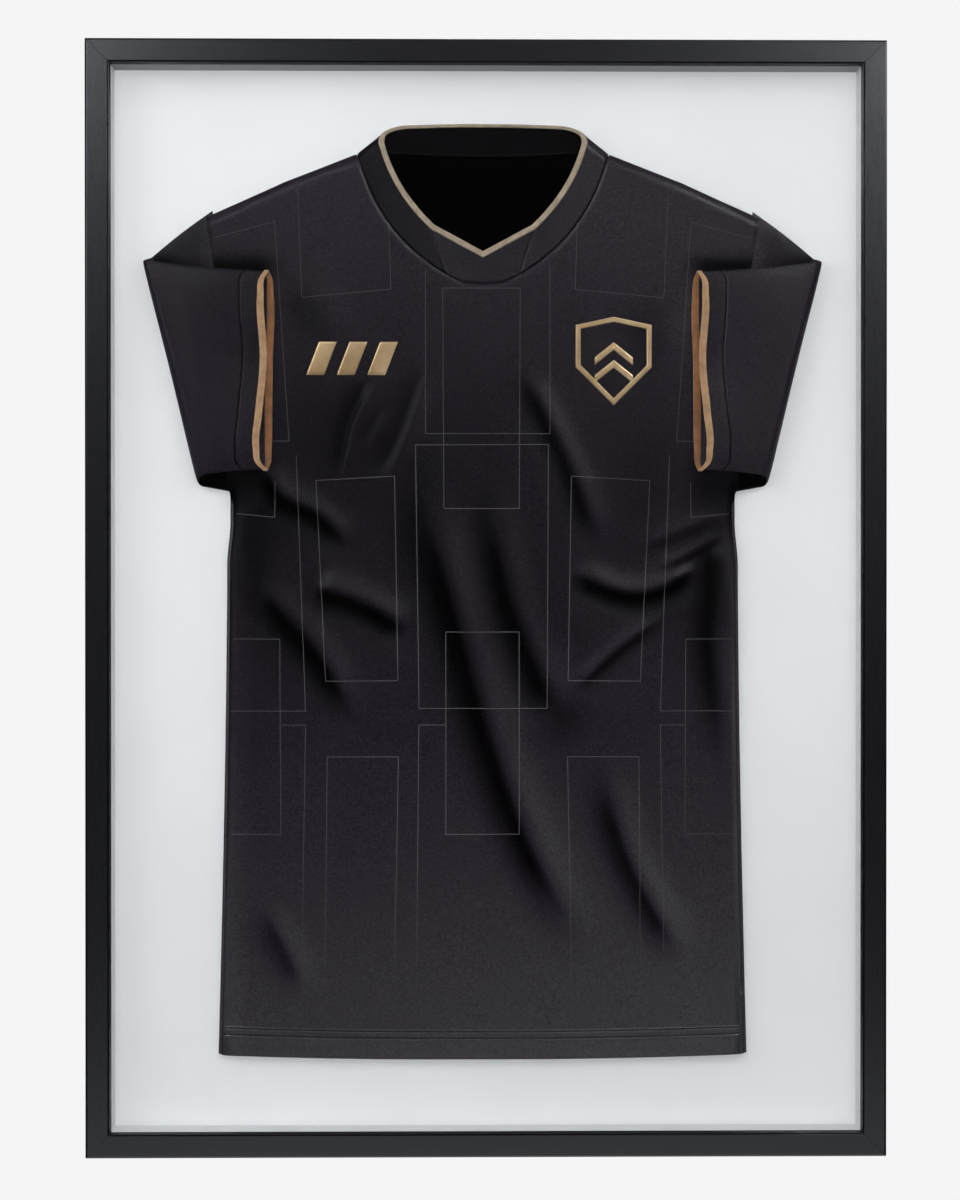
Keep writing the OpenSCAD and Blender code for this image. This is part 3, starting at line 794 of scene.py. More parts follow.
# %% Four rails
def rail(name, material, half_length, reach, upright, side):
    """Section carried along one side, upright along Z or level along X: a point x in from the
    outer edge stops at half_length minus x. The last ring of each end is a hair smaller."""
    centre = section.mean(axis=0)
    ends = []
    for shrink, short in ((0.012, 0.05), (0.0, 0.22)):
        outline = centre + (section - centre) * (1 - shrink)
        ends.append((outline, half_length - outline[:, 0] - short))
    rings = [(outline, -along) for outline, along in ends]
    for t in np.linspace(-1, 1, 9)[1:-1]:
        rings.append((section, t * (half_length - section[:, 0] - 0.3)))
    rings += ends[::-1]
    points = []
    for outline, along in rings:
        across = side * (reach - outline[:, 0])
        x, z = (across, along) if upright else (along, across)
        points.append(np.stack([x, outline[:, 1], z], axis=1))
    points = np.array(points)
    count = len(section)
    faces = quads(len(rings), count, closed=True).tolist()
    faces += [list(range(count)), list(range(count * (len(rings) - 1), count * len(rings)))]
    piece = as_piece(f"moulding_{name}", points, faces, material, "moulding",
                     (f"rail_{name}",), sharp=35, outward=True)
    piece.data.materials.append(STAINED_EDGE)
    centres = np.zeros(3 * len(piece.data.polygons))
    piece.data.polygons.foreach_get("center", centres)
    centres = centres.reshape(-1, 3) / MM
    depth_in = reach - np.abs(centres[:, 0 if upright else 2])
    inner_edge = (depth_in > face_w - 0.25) & (centres[:, 1] > front_y + 1.5)
    from_groove = np.abs(depth_in - face_w + BEAD + GROOVE / 2)
    in_groove = (from_groove < GROOVE / 2 + 0.1) & (centres[:, 1] > front_y + 0.3)
    stained = (inner_edge | in_groove).astype(np.int32)
    piece.data.polygons.foreach_set("material_index", stained)
    return piece


rail("top", LEVEL_PAINT, outer_half_w, outer_half_h, False, 1)
rail("bottom", LEVEL_PAINT, outer_half_w, outer_half_h, False, -1)
rail("left", UPRIGHT_PAINT, outer_half_h, outer_half_w, True, -1)
rail("right", UPRIGHT_PAINT, outer_half_h, outer_half_w, True, 1)

# %% [markdown]
# ## Jersey outline
# Every piece of the jersey follows one outline, so the outline is a set of functions: how wide
# the body is at a height, how high the top edge is at a distance from the middle, and where the
# collar seam runs. Left and right are the same, so all of them take the distance from the middle.

# %% Outline functions
HEM_SIDE_Z, HEM_MIDDLE_Z = -359.8, -363.6
HEM_HALF = 207
ARMPIT_Z = 78.0
BODY_HALF = 199.6
COLLAR_HALF, SHOULDER_END = 99, 218
SHOULDER = np.array([[COLLAR_HALF, 350.6], [157.0, 328.5], [SHOULDER_END, 300.5]])
COLLAR_SEAM = np.concatenate([
    bezier((COLLAR_HALF, 350.6), (82, 279), (15.5, 248.4), 40), [[0.0, 247.2]]])[::-1]
RIM = 3.1


def half_width(z):
    """Half width of the body: BODY_HALF, plus a flare to the hem that grows as the 1.5th power,
    plus the armhole's straight stretches, plus a step below the armpit."""
    flare = 7.0 * np.clip((20 - z) / 380, 0, 1) ** 1.5
    armhole = np.interp(z, [ARMPIT_Z, 100, 200, 262, 300], [0, 2, 6, 12, 18.5])
    return BODY_HALF + flare + armhole + 2.6 * smooth_step(60, 26, z)


def shoulder_z(u):
    """Height of the shoulder line at a distance u from the middle: straight stretches, less half
    a sine wave that bows it down a little."""
    share = np.clip((u - COLLAR_HALF) / (SHOULDER_END - COLLAR_HALF), 0, 1)
    bow = -0.9 * np.sin(np.pi * share)
    return np.interp(u, SHOULDER[:, 0], SHOULDER[:, 1]) + bow


def top_z(u):
    """Top edge of the front panel: collar seam near the middle, shoulder line outside it."""
    u = np.abs(u)
    collar_z = np.interp(u, COLLAR_SEAM[:, 0], COLLAR_SEAM[:, 1])
    return np.where(u < COLLAR_HALF, collar_z, shoulder_z(u))


def hem_z(u):
    """Bottom edge: lowest in the middle, and up to the side as the 2.5th power of u."""
    return HEM_MIDDLE_Z + (HEM_SIDE_Z - HEM_MIDDLE_Z) * (np.abs(u) / HEM_HALF) ** 2.5


def line_distance(u, z, line):
    """Distance to the nearest stretch of a polyline, the share of its length there, and which
    side of it the point is on: positive to its left."""
    line = np.asarray(line, float)
    lengths = np.linalg.norm(np.diff(line, axis=0), axis=1)
    starts = np.concatenate([[0], np.cumsum(lengths)])[:-1]
    best = np.full(np.shape(u), 1e9)
    share, side = np.zeros(np.shape(u)), np.ones(np.shape(u))
    for a, b, start, length in zip(line[:-1], line[1:], starts, lengths):
        d = (b - a) / length
        along = np.clip((u - a[0]) * d[0] + (z - a[1]) * d[1], 0, length)
        du, dz = u - a[0] - d[0] * along, z - a[1] - d[1] * along
        gap = np.hypot(du, dz)
        near = gap < best
        best = np.where(near, gap, best)
        share = np.where(near, (start + along) / lengths.sum(), share)
        side = np.where(near, np.sign(d[0] * dz - d[1] * du), side)
    return best, share, side


print("half width at hem, armpit and armhole:",
      [round(float(half_width(z)), 1) for z in (HEM_SIDE_Z, ARMPIT_Z, 262)])

# %% [markdown]
# ## Folds
# The cloth lies on a flat foam form with a little slack. Each fold is a stroke: a soft crest
# along a route, with one steep flank that turns from the light and one long gentle flank that
# meets it. A cloth simulation would give folds somewhere, but not these ones, so they are
# listed one line each. The cloth also swells in broad slow waves under them.

# %% Fold strokes
LIT_FROM = np.array([0.5, 0.85])


def fold(route, width, rise, ends=(0.25, 0.3)):
    """One fold: its route is a polynomial of up to the fourth power near given points; its
    width is that of the steep flank, its rise the whole height, and ends the shares of its
    length over which it fades in and out."""
    route = np.array(route, float)
    t = np.linspace(0, 1, len(route))
    fine = np.linspace(0, 1, 28)
    power = min(4, len(route) - 1)
    smooth = np.stack([np.polyval(np.polyfit(t, route[:, k], power), fine) for k in (0, 1)], 1)
    d = route[-1] - route[0]
    lit_side = 1 if np.array([-d[1], d[0]]) @ LIT_FROM > 0 else -1
    return dict(route=smooth, width=width, rise=rise, ends=ends, lit_side=lit_side)


FOLDS = [
    # The long fold from the chest to the right of the hem, and its smaller neighbour
    fold([(-56, 98), (-43, 49), (-35, 20), (-26, -8), (-15, -40), (-7, -70), (4, -126), (17, -158),
          (32, -187), (49, -222), (68, -257), (94, -288)], 11.5, 6.6, (0.20, 0.25)),
    fold([(2, 96), (9, 51), (15, 20), (21, -8), (31, -33), (43, -62), (59, -98)], 9.5, 4.2,
         (0.35, 0.15)),
    fold([(88, -118), (93, -136), (100, -167), (108, -193), (121, -225), (139, -257), (160, -294)],
         9, 4.0, (0.35, 0.25)),
    # Below the left armpit
    fold([(-172, 106), (-161, 80), (-145, 71), (-131, 64), (-118, 52), (-105, 38)], 6.5, 4.4,
         (0.15, 0.25)),
    fold([(-134, 8), (-113, 0), (-92, -8), (-75, -18), (-56, -30)], 8, 5.2, (0.15, 0.25)),
    fold([(-176, 12), (-157, -17), (-141, -34), (-126, -54), (-114, -77), (-101, -106)], 8.5, 5.0,
         (0.2, 0.35)),
    # Short folds that hang from the left of the chest
    fold([(-84, 178), (-93, 161), (-103, 139), (-109, 115), (-112, 84)], 4.6, 3.4, (0.3, 0.3)),
    fold([(-77, 150), (-94, 116)], 3.4, 1.8, (0.45, 0.45)),
    fold([(-44, 182), (-57, 147), (-65, 125), (-84, 88)], 5.4, 3.0, (0.3, 0.35)),
    # Below the right of the chest and the right armpit
    fold([(31, 182), (38, 163), (47, 143), (59, 120), (70, 96), (78, 74), (90, 40)], 6.8, 3.6,
         (0.2, 0.2)),
    fold([(66, 19), (82, 13), (96, 7), (116, 1), (135, 4), (152, 12), (170, 26)], 6.5, 4.8,
         (0.18, 0.2)),
    fold([(134, 21), (154, 29), (172, 38), (190, 50)], 4.0, 2.0, (0.3, 0.2)),
    fold([(118, 36), (144, 45), (169, 55), (194, 66)], 5.5, 1.6, (0.4, 0.3)),
    fold([(72, -75), (98, -50), (115, -36), (136, -21), (150, -11)], 4.5, 2.6, (0.25, 0.35)),
    fold([(182, 52), (182, -8), (180, -40), (183, -79), (184, -156)], 8.5, 4.0, (0.12, 0.5)),
    # Small ones near the side seams and the hem
    fold([(-178, -236), (-166, -262), (-152, -290), (-142, -316)], 8.0, 3.0, (0.4, 0.35)),
    fold([(-176, 60), (-172, 20), (-174, -60)], 7.0, 1.3, (0.4, 0.4)),
    fold([(-150, 262), (-132, 226), (-124, 180)], 13, 1.6, (0.5, 0.5)),
    fold([(150, 250), (136, 212), (130, 160)], 13, 1.4, (0.5, 0.5)),
]


print(len(FOLDS), "folds, the highest", max(f["rise"] for f in FOLDS), "mm")


# %% Height of the folds
def bell(x, left, right):
    """Bell curve, e to the minus x over width squared, with its own width on each side."""
    return np.exp(-(x / np.where(x < 0, left, right)) ** 2)


def across_fold(f, u, z):
    """Place across a fold, in flank widths and positive on its lit side, and how much of the
    fold is there, from 0 at its ends to 1."""
    gap, share, side = line_distance(u, z, f["route"])
    s = gap * side * f["lit_side"] / f["width"]
    fade = smooth_step(0, f["ends"][0], share) * smooth_step(0, f["ends"][1], 1 - share)
    return s, fade


def fold_height(u, z):
    """For each fold, a crest bell on its lit side minus a valley bell on its dark side, plus
    three products of slow sine waves."""
    height = np.zeros(np.shape(u))
    for f in FOLDS:
        s, fade = across_fold(f, u, z)
        height += fade * f["rise"] * (0.52 * bell(s - 0.62, 0.62, 1.55)
                                      - 0.48 * bell(s + 0.62, 1.7, 0.62))
    height += 0.45 * np.sin(u / 31 + 1.3) * np.sin(z / 57 + 0.4)
    height += 0.30 * np.sin((u + 0.6 * z) / 23 + 2.0) * np.sin(z / 83)
    height += 0.10 * np.sin(u / 9.7 + z / 21) * np.sin(z / 16.3 - u / 29)
    return height


chest_line = np.linspace(-100, 100, 41)
print("folds across the belly, mm:", np.round(fold_height(chest_line, 0 * chest_line)[::10], 1))

# %% [markdown]
# ### Depth of the front cloth
# Every front piece asks one function how deep the cloth lies at a place: the form, the slack and
# the folds, kept clear of the form by a soft limit, then rolled over near the sides, the
# shoulders and the hem as cloth is at the edge of a board.

# %% Depth of the front cloth
SLACK = 3.3
CLEAR_OF_FORM, LIMIT_SOFT = 0.35, 1.6
EDGE_ROUND = 9.0
SIDE_DROP, SHOULDER_DROP, HEM_DROP = 3.6, 5.6, 1.6
FAR = 99


def cloth_y(u, z):
    """Depth of the front cloth: the form less the slack and folds, softly limited from below by
    the log of one plus e to the height, plus the larger of two quarter circles near the edges."""
    u, z = np.asarray(u, float), np.asarray(z, float)
    over_form = SLACK + fold_height(u, z)
    above = np.logaddexp(0, (over_form - CLEAR_OF_FORM) * LIMIT_SOFT) / LIMIT_SOFT
    flat = form_y - CLEAR_OF_FORM - above
    side_gap = half_width(z) - RIM - np.abs(u)
    side_gap = np.where(z > ARMPIT_Z + 6, FAR, side_gap)
    shoulder_gap = line_distance(np.abs(u), z, np.concatenate([
        [[84.0, 363.0]], SHOULDER, [[240.0, 291.0]]]))[0]
    roll = []
    for gap, drop in ((side_gap, SIDE_DROP), (shoulder_gap, SHOULDER_DROP)):
        near = 1 - np.clip(gap / EDGE_ROUND, 0, 1)
        roll.append(drop * (1 - np.sqrt(np.clip(1 - near ** 2, 0, 1))))
    down = np.maximum(roll[0], roll[1])
    down = down + HEM_DROP * (1 - smooth_step(0, 14, z - hem_z(u)))
    return flat + down


print("cloth over the form, mm:", np.round(form_y - cloth_y(chest_line, 0 * chest_line)[::10], 1))

# %% [markdown]
# ## Painted light
# The shine of the knit is painted light. It paints shade where the cloth turns sharply into a
# crease, between the folds, beside the sleeve flaps, at the armpits and along the seams, and
# painted highlights along the crests, over the shoulders, towards the hem, to the right, where
# the light comes from, and on the turned edge. One function of place gives that share for every
# piece, and each mesh carries it as an attribute that its material reads.

# %% Painted light attribute
PAINTED_LIGHT_Z = [-370, -300, -200, -110, -20, 80, 170, 240, 300, 370]
PAINTED_LIGHT_LEVELS = [0.93, 0.83, 0.53, 0.32, 0.215, 0.195, 0.235, 0.28, 0.34, 0.35]
FULL_RISE = 4.4

# Broad painted shades between the folds: place, half width, half height, share of the shine lost
PAINTED_SHADES = [
    (-177, 55, 18, 50, 0.5), (-150, 62, 26, 18, 0.35), (-52, 62, 18, 44, 0.45),
    (-108, 130, 50, 42, 0.38), (62, -96, 18, 18, 0.5), (182, 12, 16, 62, 0.4),
    (132, 96, 26, 40, 0.22), (-8, 120, 42, 46, 0.2), (-150, -30, 26, 40, 0.25),
    (30, 0, 30, 60, 0.2), (150, -6, 40, 14, 0.3), (36, -60, 60, 60, 0.12)]


def lustre(u, z):
    """Painted light as a share of shine: a level for the height, times one less the strongest
    painted shade there, times one plus the painted highlight of the crests, times one plus the
    painted highlight along the side edges."""
    # Painted light: a level for the height, brighter towards the hem and the shoulders, and
    # brighter to the right, where the light comes from.
    value = np.interp(z, PAINTED_LIGHT_Z, PAINTED_LIGHT_LEVELS) * (1 + 0.0009 * u)
    painted_dark, bright = np.zeros(np.shape(u)), np.zeros(np.shape(u))
    for f in FOLDS:
        s, fade = across_fold(f, u, z)
        strong = fade * min(1, f["rise"] / FULL_RISE)
        painted_dark = np.maximum(painted_dark, strong * bell(s + 0.15, 1.75, 0.72))
        bright = np.maximum(bright, strong * bell(s - 1.5, 0.7, 1.3))
    # Painted shadow above and below the folded-back sleeves
    far_out = smooth_step(150, 178, np.abs(u))
    tuck = far_out * bell(z - 262, 12, 9) * 0.9
    under_flap = far_out * bell(z - 90, 22, 40) * 0.75
    # Painted shade at the armhole seam, armpit and side seam, then the painted highlight on the
    # turned edge below
    edge_gap = half_width(z) - RIM - np.abs(u)
    armhole = np.where(z > 225, bell(half_width(z) - 0.8 - np.abs(u), 1.1, 1.1), 0)
    armpit = bell(edge_gap, 6.5, 6.5) * bell(z - 84, 34, 30)
    side_seam = 0.8 * bell(edge_gap, 0.7, 0.7) * (z < ARMPIT_Z)
    painted_edge_highlight = smooth_step(40, -60, z) * (1.1 * bell(edge_gap - 2.6, 1.3, 1.6) * (u > 0)
                                            + 0.25 * bell(edge_gap - 9, 6, 8) * (u < 0))
    for place_u, place_z, wide, high, amount in PAINTED_SHADES:
        shade = amount * bell(u - place_u, wide, wide) * bell(z - place_z, high, high)
        painted_dark = 1 - (1 - painted_dark) * (1 - shade)
    painted_dark = np.maximum.reduce([painted_dark, tuck, under_flap, 0.75 * armhole, armpit, side_seam])
    shine = value * (1 - 0.96 * painted_dark) * (1 + 0.45 * bright) * (1 + painted_edge_highlight)
    return np.clip(shine, 0, 1)


def add_lustre(piece, values):
    """Stores one painted light value per vertex."""
    layer = piece.data.attributes.new("lustre", "FLOAT", "POINT")
    layer.data.foreach_set("value", np.asarray(values, np.float32).ravel())


print("lustre at hem, belly and shoulder:",
      np.round(lustre(np.array([0.0, 0, 150]), np.array([-350.0, 60, 310])), 2))

# %% [markdown]
# ## Front panel
# The grid's columns run from the hem up to the collar seam or the shoulder, so the panel's edges
# are exact. Beside the collar seam the cloth dips, which draws the seam as a fine dark line.

# %% Front panel
HEM_BAND = 23.0
COLUMNS, ROWS = 215, 335
WIDEST = 218.1
TOP_SHARE = 0.97


def column_tops(s):
    """Where each column meets the top edge: u is s times the half width there, found by putting
    each answer back in thirty times."""
    u = s * 215.0
    for _ in range(30):
        u = s * np.clip(half_width(top_z(u)), 0, WIDEST)
    return u, top_z(u)


def panel_grid(columns, rows):
    """Distance from the middle and height of a grid over the front panel: z runs evenly from the
    hem band to each column's top, and u is the column's share of the half width."""
    s = np.linspace(-1, 1, columns)[None, :]
    top_u, high = column_tops(s)
    low_u = s * (half_width(HEM_SIDE_Z + HEM_BAND) - RIM)
    low = hem_z(low_u) + HEM_BAND
    t = np.linspace(0, 1, rows)[:, None]
    z = low + (high - low) * t
    rim = RIM * (1 - smooth_step(ARMPIT_Z - 6, ARMPIT_Z + 10, z))
    u = s * (np.clip(half_width(z), 0, WIDEST) - rim)
    u = np.where(t > TOP_SHARE, u + (top_u - u) * ((t - TOP_SHARE) / (1 - TOP_SHARE)), u)
    return u, z


def seam_dip(u, z):
    """Small valley where the panel meets the collar seam: a bell of the distance to it."""
    gap = line_distance(np.abs(u), z, COLLAR_SEAM)[0]
    return 0.75 * np.exp(-(gap / 1.3) ** 2)


u, z = panel_grid(COLUMNS, ROWS)
y = cloth_y(u, z) + seam_dip(u, z)
front_points = np.stack([u + jersey_x, y, z], axis=-1)
front_panel = as_piece("front_panel", front_points, quads(ROWS, COLUMNS), JERSEY, "jersey",
                       ("jersey_front",))
add_lustre(front_panel, lustre(u, z))


def grid_area(points):
    """Area of a grid's quads in square metres, which is about the cut of the cloth: the length
    of the cross product of each quad's two sides."""
    across, up = np.diff(points, axis=1)[:-1], np.diff(points, axis=0)[:, :-1]
    return float(np.linalg.norm(np.cross(across, up), axis=-1).sum()) * MM * MM


grid_area(front_points)
print("front panel:", round(grid_area(front_points), 4), "square metres")

# %% [markdown]
# ## Hem band
# A hem is the cloth turned up behind itself and held by two rows of stitches. The grid goes down
# the outside, round the bottom edge and up the inside, and dips at each row of stitches.

# %% Hem band
STITCH_ROWS = (22.0, 16.7)


def hem_surface(columns):
    """Rows go down the outside, half a circle round the turned edge, and up the inside. Each row
    of stitches is a bell-shaped dip."""
    s = np.linspace(-1, 1, columns)[None, :]
    outside = np.linspace(HEM_BAND + 0.6, 1.2, 40)
    turn = np.linspace(0, math.pi, 9)[1:-1]
    inside = np.linspace(1.2, 20, 8)
    lift = np.concatenate([outside, 1.2 - 1.2 * np.sin(turn), inside])[:, None]
    inward = np.concatenate([0 * outside, 0.9 * (1 - np.cos(turn)), 1.8 + 0 * inside])[:, None]
    u = s * (half_width(HEM_SIDE_Z + lift) - RIM)
    z = hem_z(u) + lift
    raised = 0.45 * smooth_step(HEM_BAND + 0.6, HEM_BAND - 0.4, lift)
    dips = sum(0.38 * np.exp(-((lift - row) / 0.55) ** 2) for row in STITCH_ROWS)
    y = cloth_y(u, z) - raised + dips * (inward < 0.1) + inward
    return np.stack([u + jersey_x, y, z], axis=-1)


hem_points = hem_surface(COLUMNS)[::-1]
hem = as_piece("hem_band_cloth", hem_points, quads(len(hem_points), COLUMNS), JERSEY, "jersey",
               ("hem_band",))
hem_lift = hem_points[..., 2] - hem_z(hem_points[..., 0] - jersey_x)
# Painted shade along the two rows of stitches.
row_painted_shade = sum(np.exp(-((hem_lift - row - 0.2) / 0.55) ** 2) for row in STITCH_ROWS)
add_lustre(hem, np.clip(lustre(hem_points[..., 0] - jersey_x, hem_points[..., 2])
                        * (1 - 0.85 * np.minimum(row_painted_shade, 1)), 0, 1))

# %% [markdown]
# ## Back panel
# Only its rim and the inside of the neck show. At each side it comes forward round the edge of
# the form to the side seam, so a narrow dark rim frames the front.

# %% Back panel
def back_surface(rows=150):
    """Cross section from seam to seam: a quarter circle of rim, turn under, flat back, turn out
    and the other rim, carried up the body and narrowed by the shoulder line."""
    turn = np.linspace(0, 1, 15)
    rim_in = RIM * (1 - np.sin(turn * math.pi / 2))
    rim_y = board_y - 4.5 + 3.2 * (1 - np.cos(turn * math.pi / 2))
    under = np.linspace(0, 1, 5)[1:]
    inset = np.concatenate([rim_in, 4.0 * under])
    depth = np.concatenate([rim_y, board_y - 1.3 + 0.6 * under])
    flat = np.linspace(-1, 1, 40)[1:-1]
    z = np.linspace(HEM_SIDE_Z + 0.5, 349.5, rows)[:, None]
    beyond = np.interp(z, [298, 300.5, 328.5, 350], [1e3, 214, 154, 98])
    width = np.minimum(half_width(np.minimum(z, 300)), beyond) - 0.4
    left = -(width - inset[None, :])
    right = width - inset[None, ::-1]
    middle = flat[None, :] * (width - 4.0)
    u = np.concatenate([left, middle, right], axis=1)
    y = np.concatenate([depth, np.full(len(flat), board_y - 0.7), depth[::-1]])
    y = np.broadcast_to(y[None, :], u.shape)
    return np.stack([u + jersey_x, y, np.broadcast_to(z, u.shape)], axis=-1)


back_points = back_surface()
back_panel = as_piece("back_panel", back_points, quads(*back_points.shape[:2]), JERSEY, "jersey",
                      ("jersey_back",))
# Painted light: a highlight line on the turned rim below the armpits and nothing elsewhere, so the
# inside of the back is painted black as shade.
rim_inset = half_width(back_points[..., 2]) - np.abs(back_points[..., 0] - jersey_x)
rim_painted_light = bell(rim_inset - 2.0, 0.8, 0.8) * (back_points[..., 1] < board_y - 1.0)
add_lustre(back_panel, np.where(back_points[..., 2] < ARMPIT_Z, rim_painted_light, 0))
grid_area(back_points)

# %% [markdown]
# ## Collar
# The collar band lies between two curves: the seam it is sewn to, and the neck opening. Both are
# cut into the same number of steps, and the band is ruled between them. Two short seams part the
# pointed insert from the two sides.

# %% Collar band and insert
NECK_SIDE = (81.0, 364.5)
NECK_BEND = (40.5, 292.4)
NECK_POINT = (0.0, 271.0)
INSERT_FOOT = 29.0
COLLAR_ROWS, SIDE_STEPS, INSERT_STEPS = 24, 70, 24


def collar_lines(part, steps):
    """Outer and inner line of one stretch of collar, right half, from the side to the middle:
    the seam curve outside, and a bezier curve or a straight line inside."""
    seam_u, seam_z = COLLAR_SEAM[:, 0], COLLAR_SEAM[:, 1]
    if part == "side":
        inner = bezier(NECK_SIDE, (72, 320), NECK_BEND, steps)
        outer_u = COLLAR_HALF - (COLLAR_HALF - INSERT_FOOT) * np.linspace(0, 1, steps) ** 1.35
    else:
        inner = np.linspace(NECK_BEND, NECK_POINT, steps)
        outer_u = np.linspace(INSERT_FOOT, 0, steps)
    outer = np.stack([outer_u, np.interp(outer_u, seam_u, seam_z)], axis=1)
    return outer, inner


def collar_surface(part, steps, rows=COLLAR_ROWS):
    """Ruled between the seam and the neck opening, raised a little by its second layer, with a
    bell-shaped dip where the insert joins the side."""
    outer, inner = collar_lines(part, steps)
    t = np.linspace(0, 1, rows)[:, None, None] ** 1.2
    flat = outer[None] * (1 - t) + inner[None] * t
    u, z = flat[..., 0], flat[..., 1]
    from_seam = np.linalg.norm(flat - outer[None], axis=-1)
    raised = 0.75 * smooth_step(0, 2.2, from_seam)
    y = cloth_y(u, z) + 0.75 - raised * 1.7
    share = np.linspace(0, 1, steps)[None, :]
    joint = share if part == "insert" else 1 - share
    y = y + 0.7 * np.exp(-(joint * (34 if part == "insert" else 110) / 1.3) ** 2)
    return u, y, z


for side in (-1, 1):
    u, y, z = collar_surface("side", SIDE_STEPS)
    points = np.stack([side * u + jersey_x, y, z], axis=-1)
    if side < 0:
        points = points[:, ::-1]
    name = "collar_side_left" if side < 0 else "collar_side_right"
    band = as_piece(name, points[:, ::-1], quads(COLLAR_ROWS, SIDE_STEPS), COLLAR, "collar",
                    ("collar_band",))
    band_u, band_z = np.abs(points[:, ::-1, 0] - jersey_x), points[:, ::-1, 2]
    seams = (line_distance(band_u, band_z, COLLAR_SEAM)[0],
             line_distance(band_u, band_z, [(INSERT_FOOT, 250.0), NECK_BEND])[0])
    # Painted light: the right side of the collar is painted brighter than the left, as the light
    # falls from the right, and both are darker along the two seams.
    ends = (0.23, 0.15) if side < 0 else (0.32, 0.36)
    level = np.interp(band_u, [INSERT_FOOT, 90], ends)
    add_lustre(band, level * (1 - 0.7 * bell(seams[0], 1.2, 1.2))
               * (1 - 0.55 * bell(seams[1], 1.0, 1.0)))
    grid_area(points)

u, y, z = collar_surface("insert", INSERT_STEPS)
right_half = np.stack([u + jersey_x, y, z], axis=-1)
left_half = np.stack([-u + jersey_x, y, z], axis=-1)[:, :-1]
insert_points = np.concatenate([left_half, right_half[:, ::-1]], axis=1)
insert = as_piece("collar_insert_cloth", insert_points, quads(*insert_points.shape[:2]), COLLAR,
                  "collar", ("collar_insert",))
add_lustre(insert, np.full(insert_points.shape[:2], 0.31))
grid_area(insert_points)

# %% [markdown]
# ### Inside of the back neck
# Through the neck opening one sees the back half of the collar standing up, and below it the tape
# that covers its seam. The collar strip is a grid that leans forward as it rises, and the tape is
# half a round, drawn along the seam with the same sag. Both lie in the shade of the front.

# %% Inside of the back neck
NECK_HALF = 84
NECK_FOOT_Z = 341.0
NECK_GRID = 60


def neck_back_z(u):
    """Top edge of the back of the neck: flat in the middle, and down at the ends as the sixth
    power of u."""
    return 373.5 - 10.0 * (np.abs(u) / 81) ** 6 - 0.6 * (u / 81) ** 2


u = np.linspace(-NECK_HALF, NECK_HALF, NECK_GRID)[None, :]
t = np.linspace(0, 1, NECK_GRID)[:, None]
z = NECK_FOOT_Z + (neck_back_z(u) - NECK_FOOT_Z) * t
y = board_y - 1.6 - 1.4 * t ** 2 - 0.5 * np.cos(t * math.pi / 2)
neck_back_points = np.stack([u + jersey_x + 0 * z, y + 0 * u, z], axis=-1)
neck_back = as_piece("neck_back_band", neck_back_points, quads(NECK_GRID, NECK_GRID), COLLAR,
                     "collar")
neck_sag = 3.0 * (1 - (u / NECK_HALF) ** 2)
neck_height = neck_back_points[..., 2] + neck_sag
# Painted shade: the back of the neck is painted almost black, with faint painted highlights along
# two lines.
add_lustre(neck_back, 0.05 * smooth_step(352, 356, neck_height) + 0.10 * bell(
    neck_height - 353.0, 0.7, 0.7) + 0.05 * bell(neck_height - 346.5, 0.6, 0.6))
tape_t = np.linspace(0, math.pi, 12)[:, None]
tape_z = 345.5 - 4.5 * np.cos(tape_t) - neck_sag
tape_y = board_y - 1.5 - 0.9 * np.sin(tape_t) ** 0.5 + 0 * u
tape_points = np.stack([0.93 * u + jersey_x + 0 * tape_z, tape_y, tape_z], axis=-1)
neck_tape = as_piece("neck_tape_cloth", tape_points, quads(12, NECK_GRID), SHADE_PAINTED_INSIDE, "jersey",
                     ("neck_tape",))

# %% [markdown]
# ## Bindings
# A binding is a flat band carried along a line. At each point of the line the band's width lies
# along the direction halfway between its two neighbours' normals, made longer at a sharp corner,
# which is how a mitred corner is cut. Its own UV map counts ribs along it.

# %% Band along a line
def band_along(line, width, crown, depth, closed, lobes=2, across=11, rib=0.9):
    """Crowned band on a line in X and Z; depth gives the line's Y at each point. The crown is the
    square root of one less w to the fourth, with a shallow groove for each pair of lobes."""
    line, width = np.asarray(line, float), np.broadcast_to(width, (len(line),))
    ahead = np.roll(line, -1, axis=0) - line
    behind = line - np.roll(line, 1, axis=0)
    if not closed:
        ahead[-1], behind[0] = behind[-1], ahead[0]
    ahead /= np.linalg.norm(ahead, axis=1)[:, None]
    behind /= np.linalg.norm(behind, axis=1)[:, None]
    normal = np.stack([-(ahead + behind)[:, 1], (ahead + behind)[:, 0]], axis=1)
    normal /= np.linalg.norm(normal, axis=1)[:, None]
    miter = 1 / np.clip((normal * np.stack([-ahead[:, 1], ahead[:, 0]], 1)).sum(1), 0.35, 1)
    w = np.linspace(-1, 1, across)
    flat = line[:, None, :] + normal[:, None, :] * (w * 0.5)[None, :, None] * (
        width * miter)[:, None, None]
    swell = np.clip(1 - w ** 4, 0, 1) ** 0.5 * (1 - 0.18 * np.cos(w * math.pi * lobes / 2) ** 8)
    y = np.broadcast_to(depth, (len(line),))[:, None] - crown * swell[None, :]
    front = np.stack([flat[..., 0], y, flat[..., 1]], axis=-1)
    back = front[:, ::-1][:, 1:-1].copy()
    back[..., 1] = np.broadcast_to(depth, (len(line),))[:, None] + 0.15
    ring = np.concatenate([front, back], axis=1)
    length = np.concatenate([[0], np.cumsum(np.linalg.norm(np.diff(line, axis=0), axis=1))])
    return ring, length / rib, np.concatenate([w, w[::-1][1:-1]])


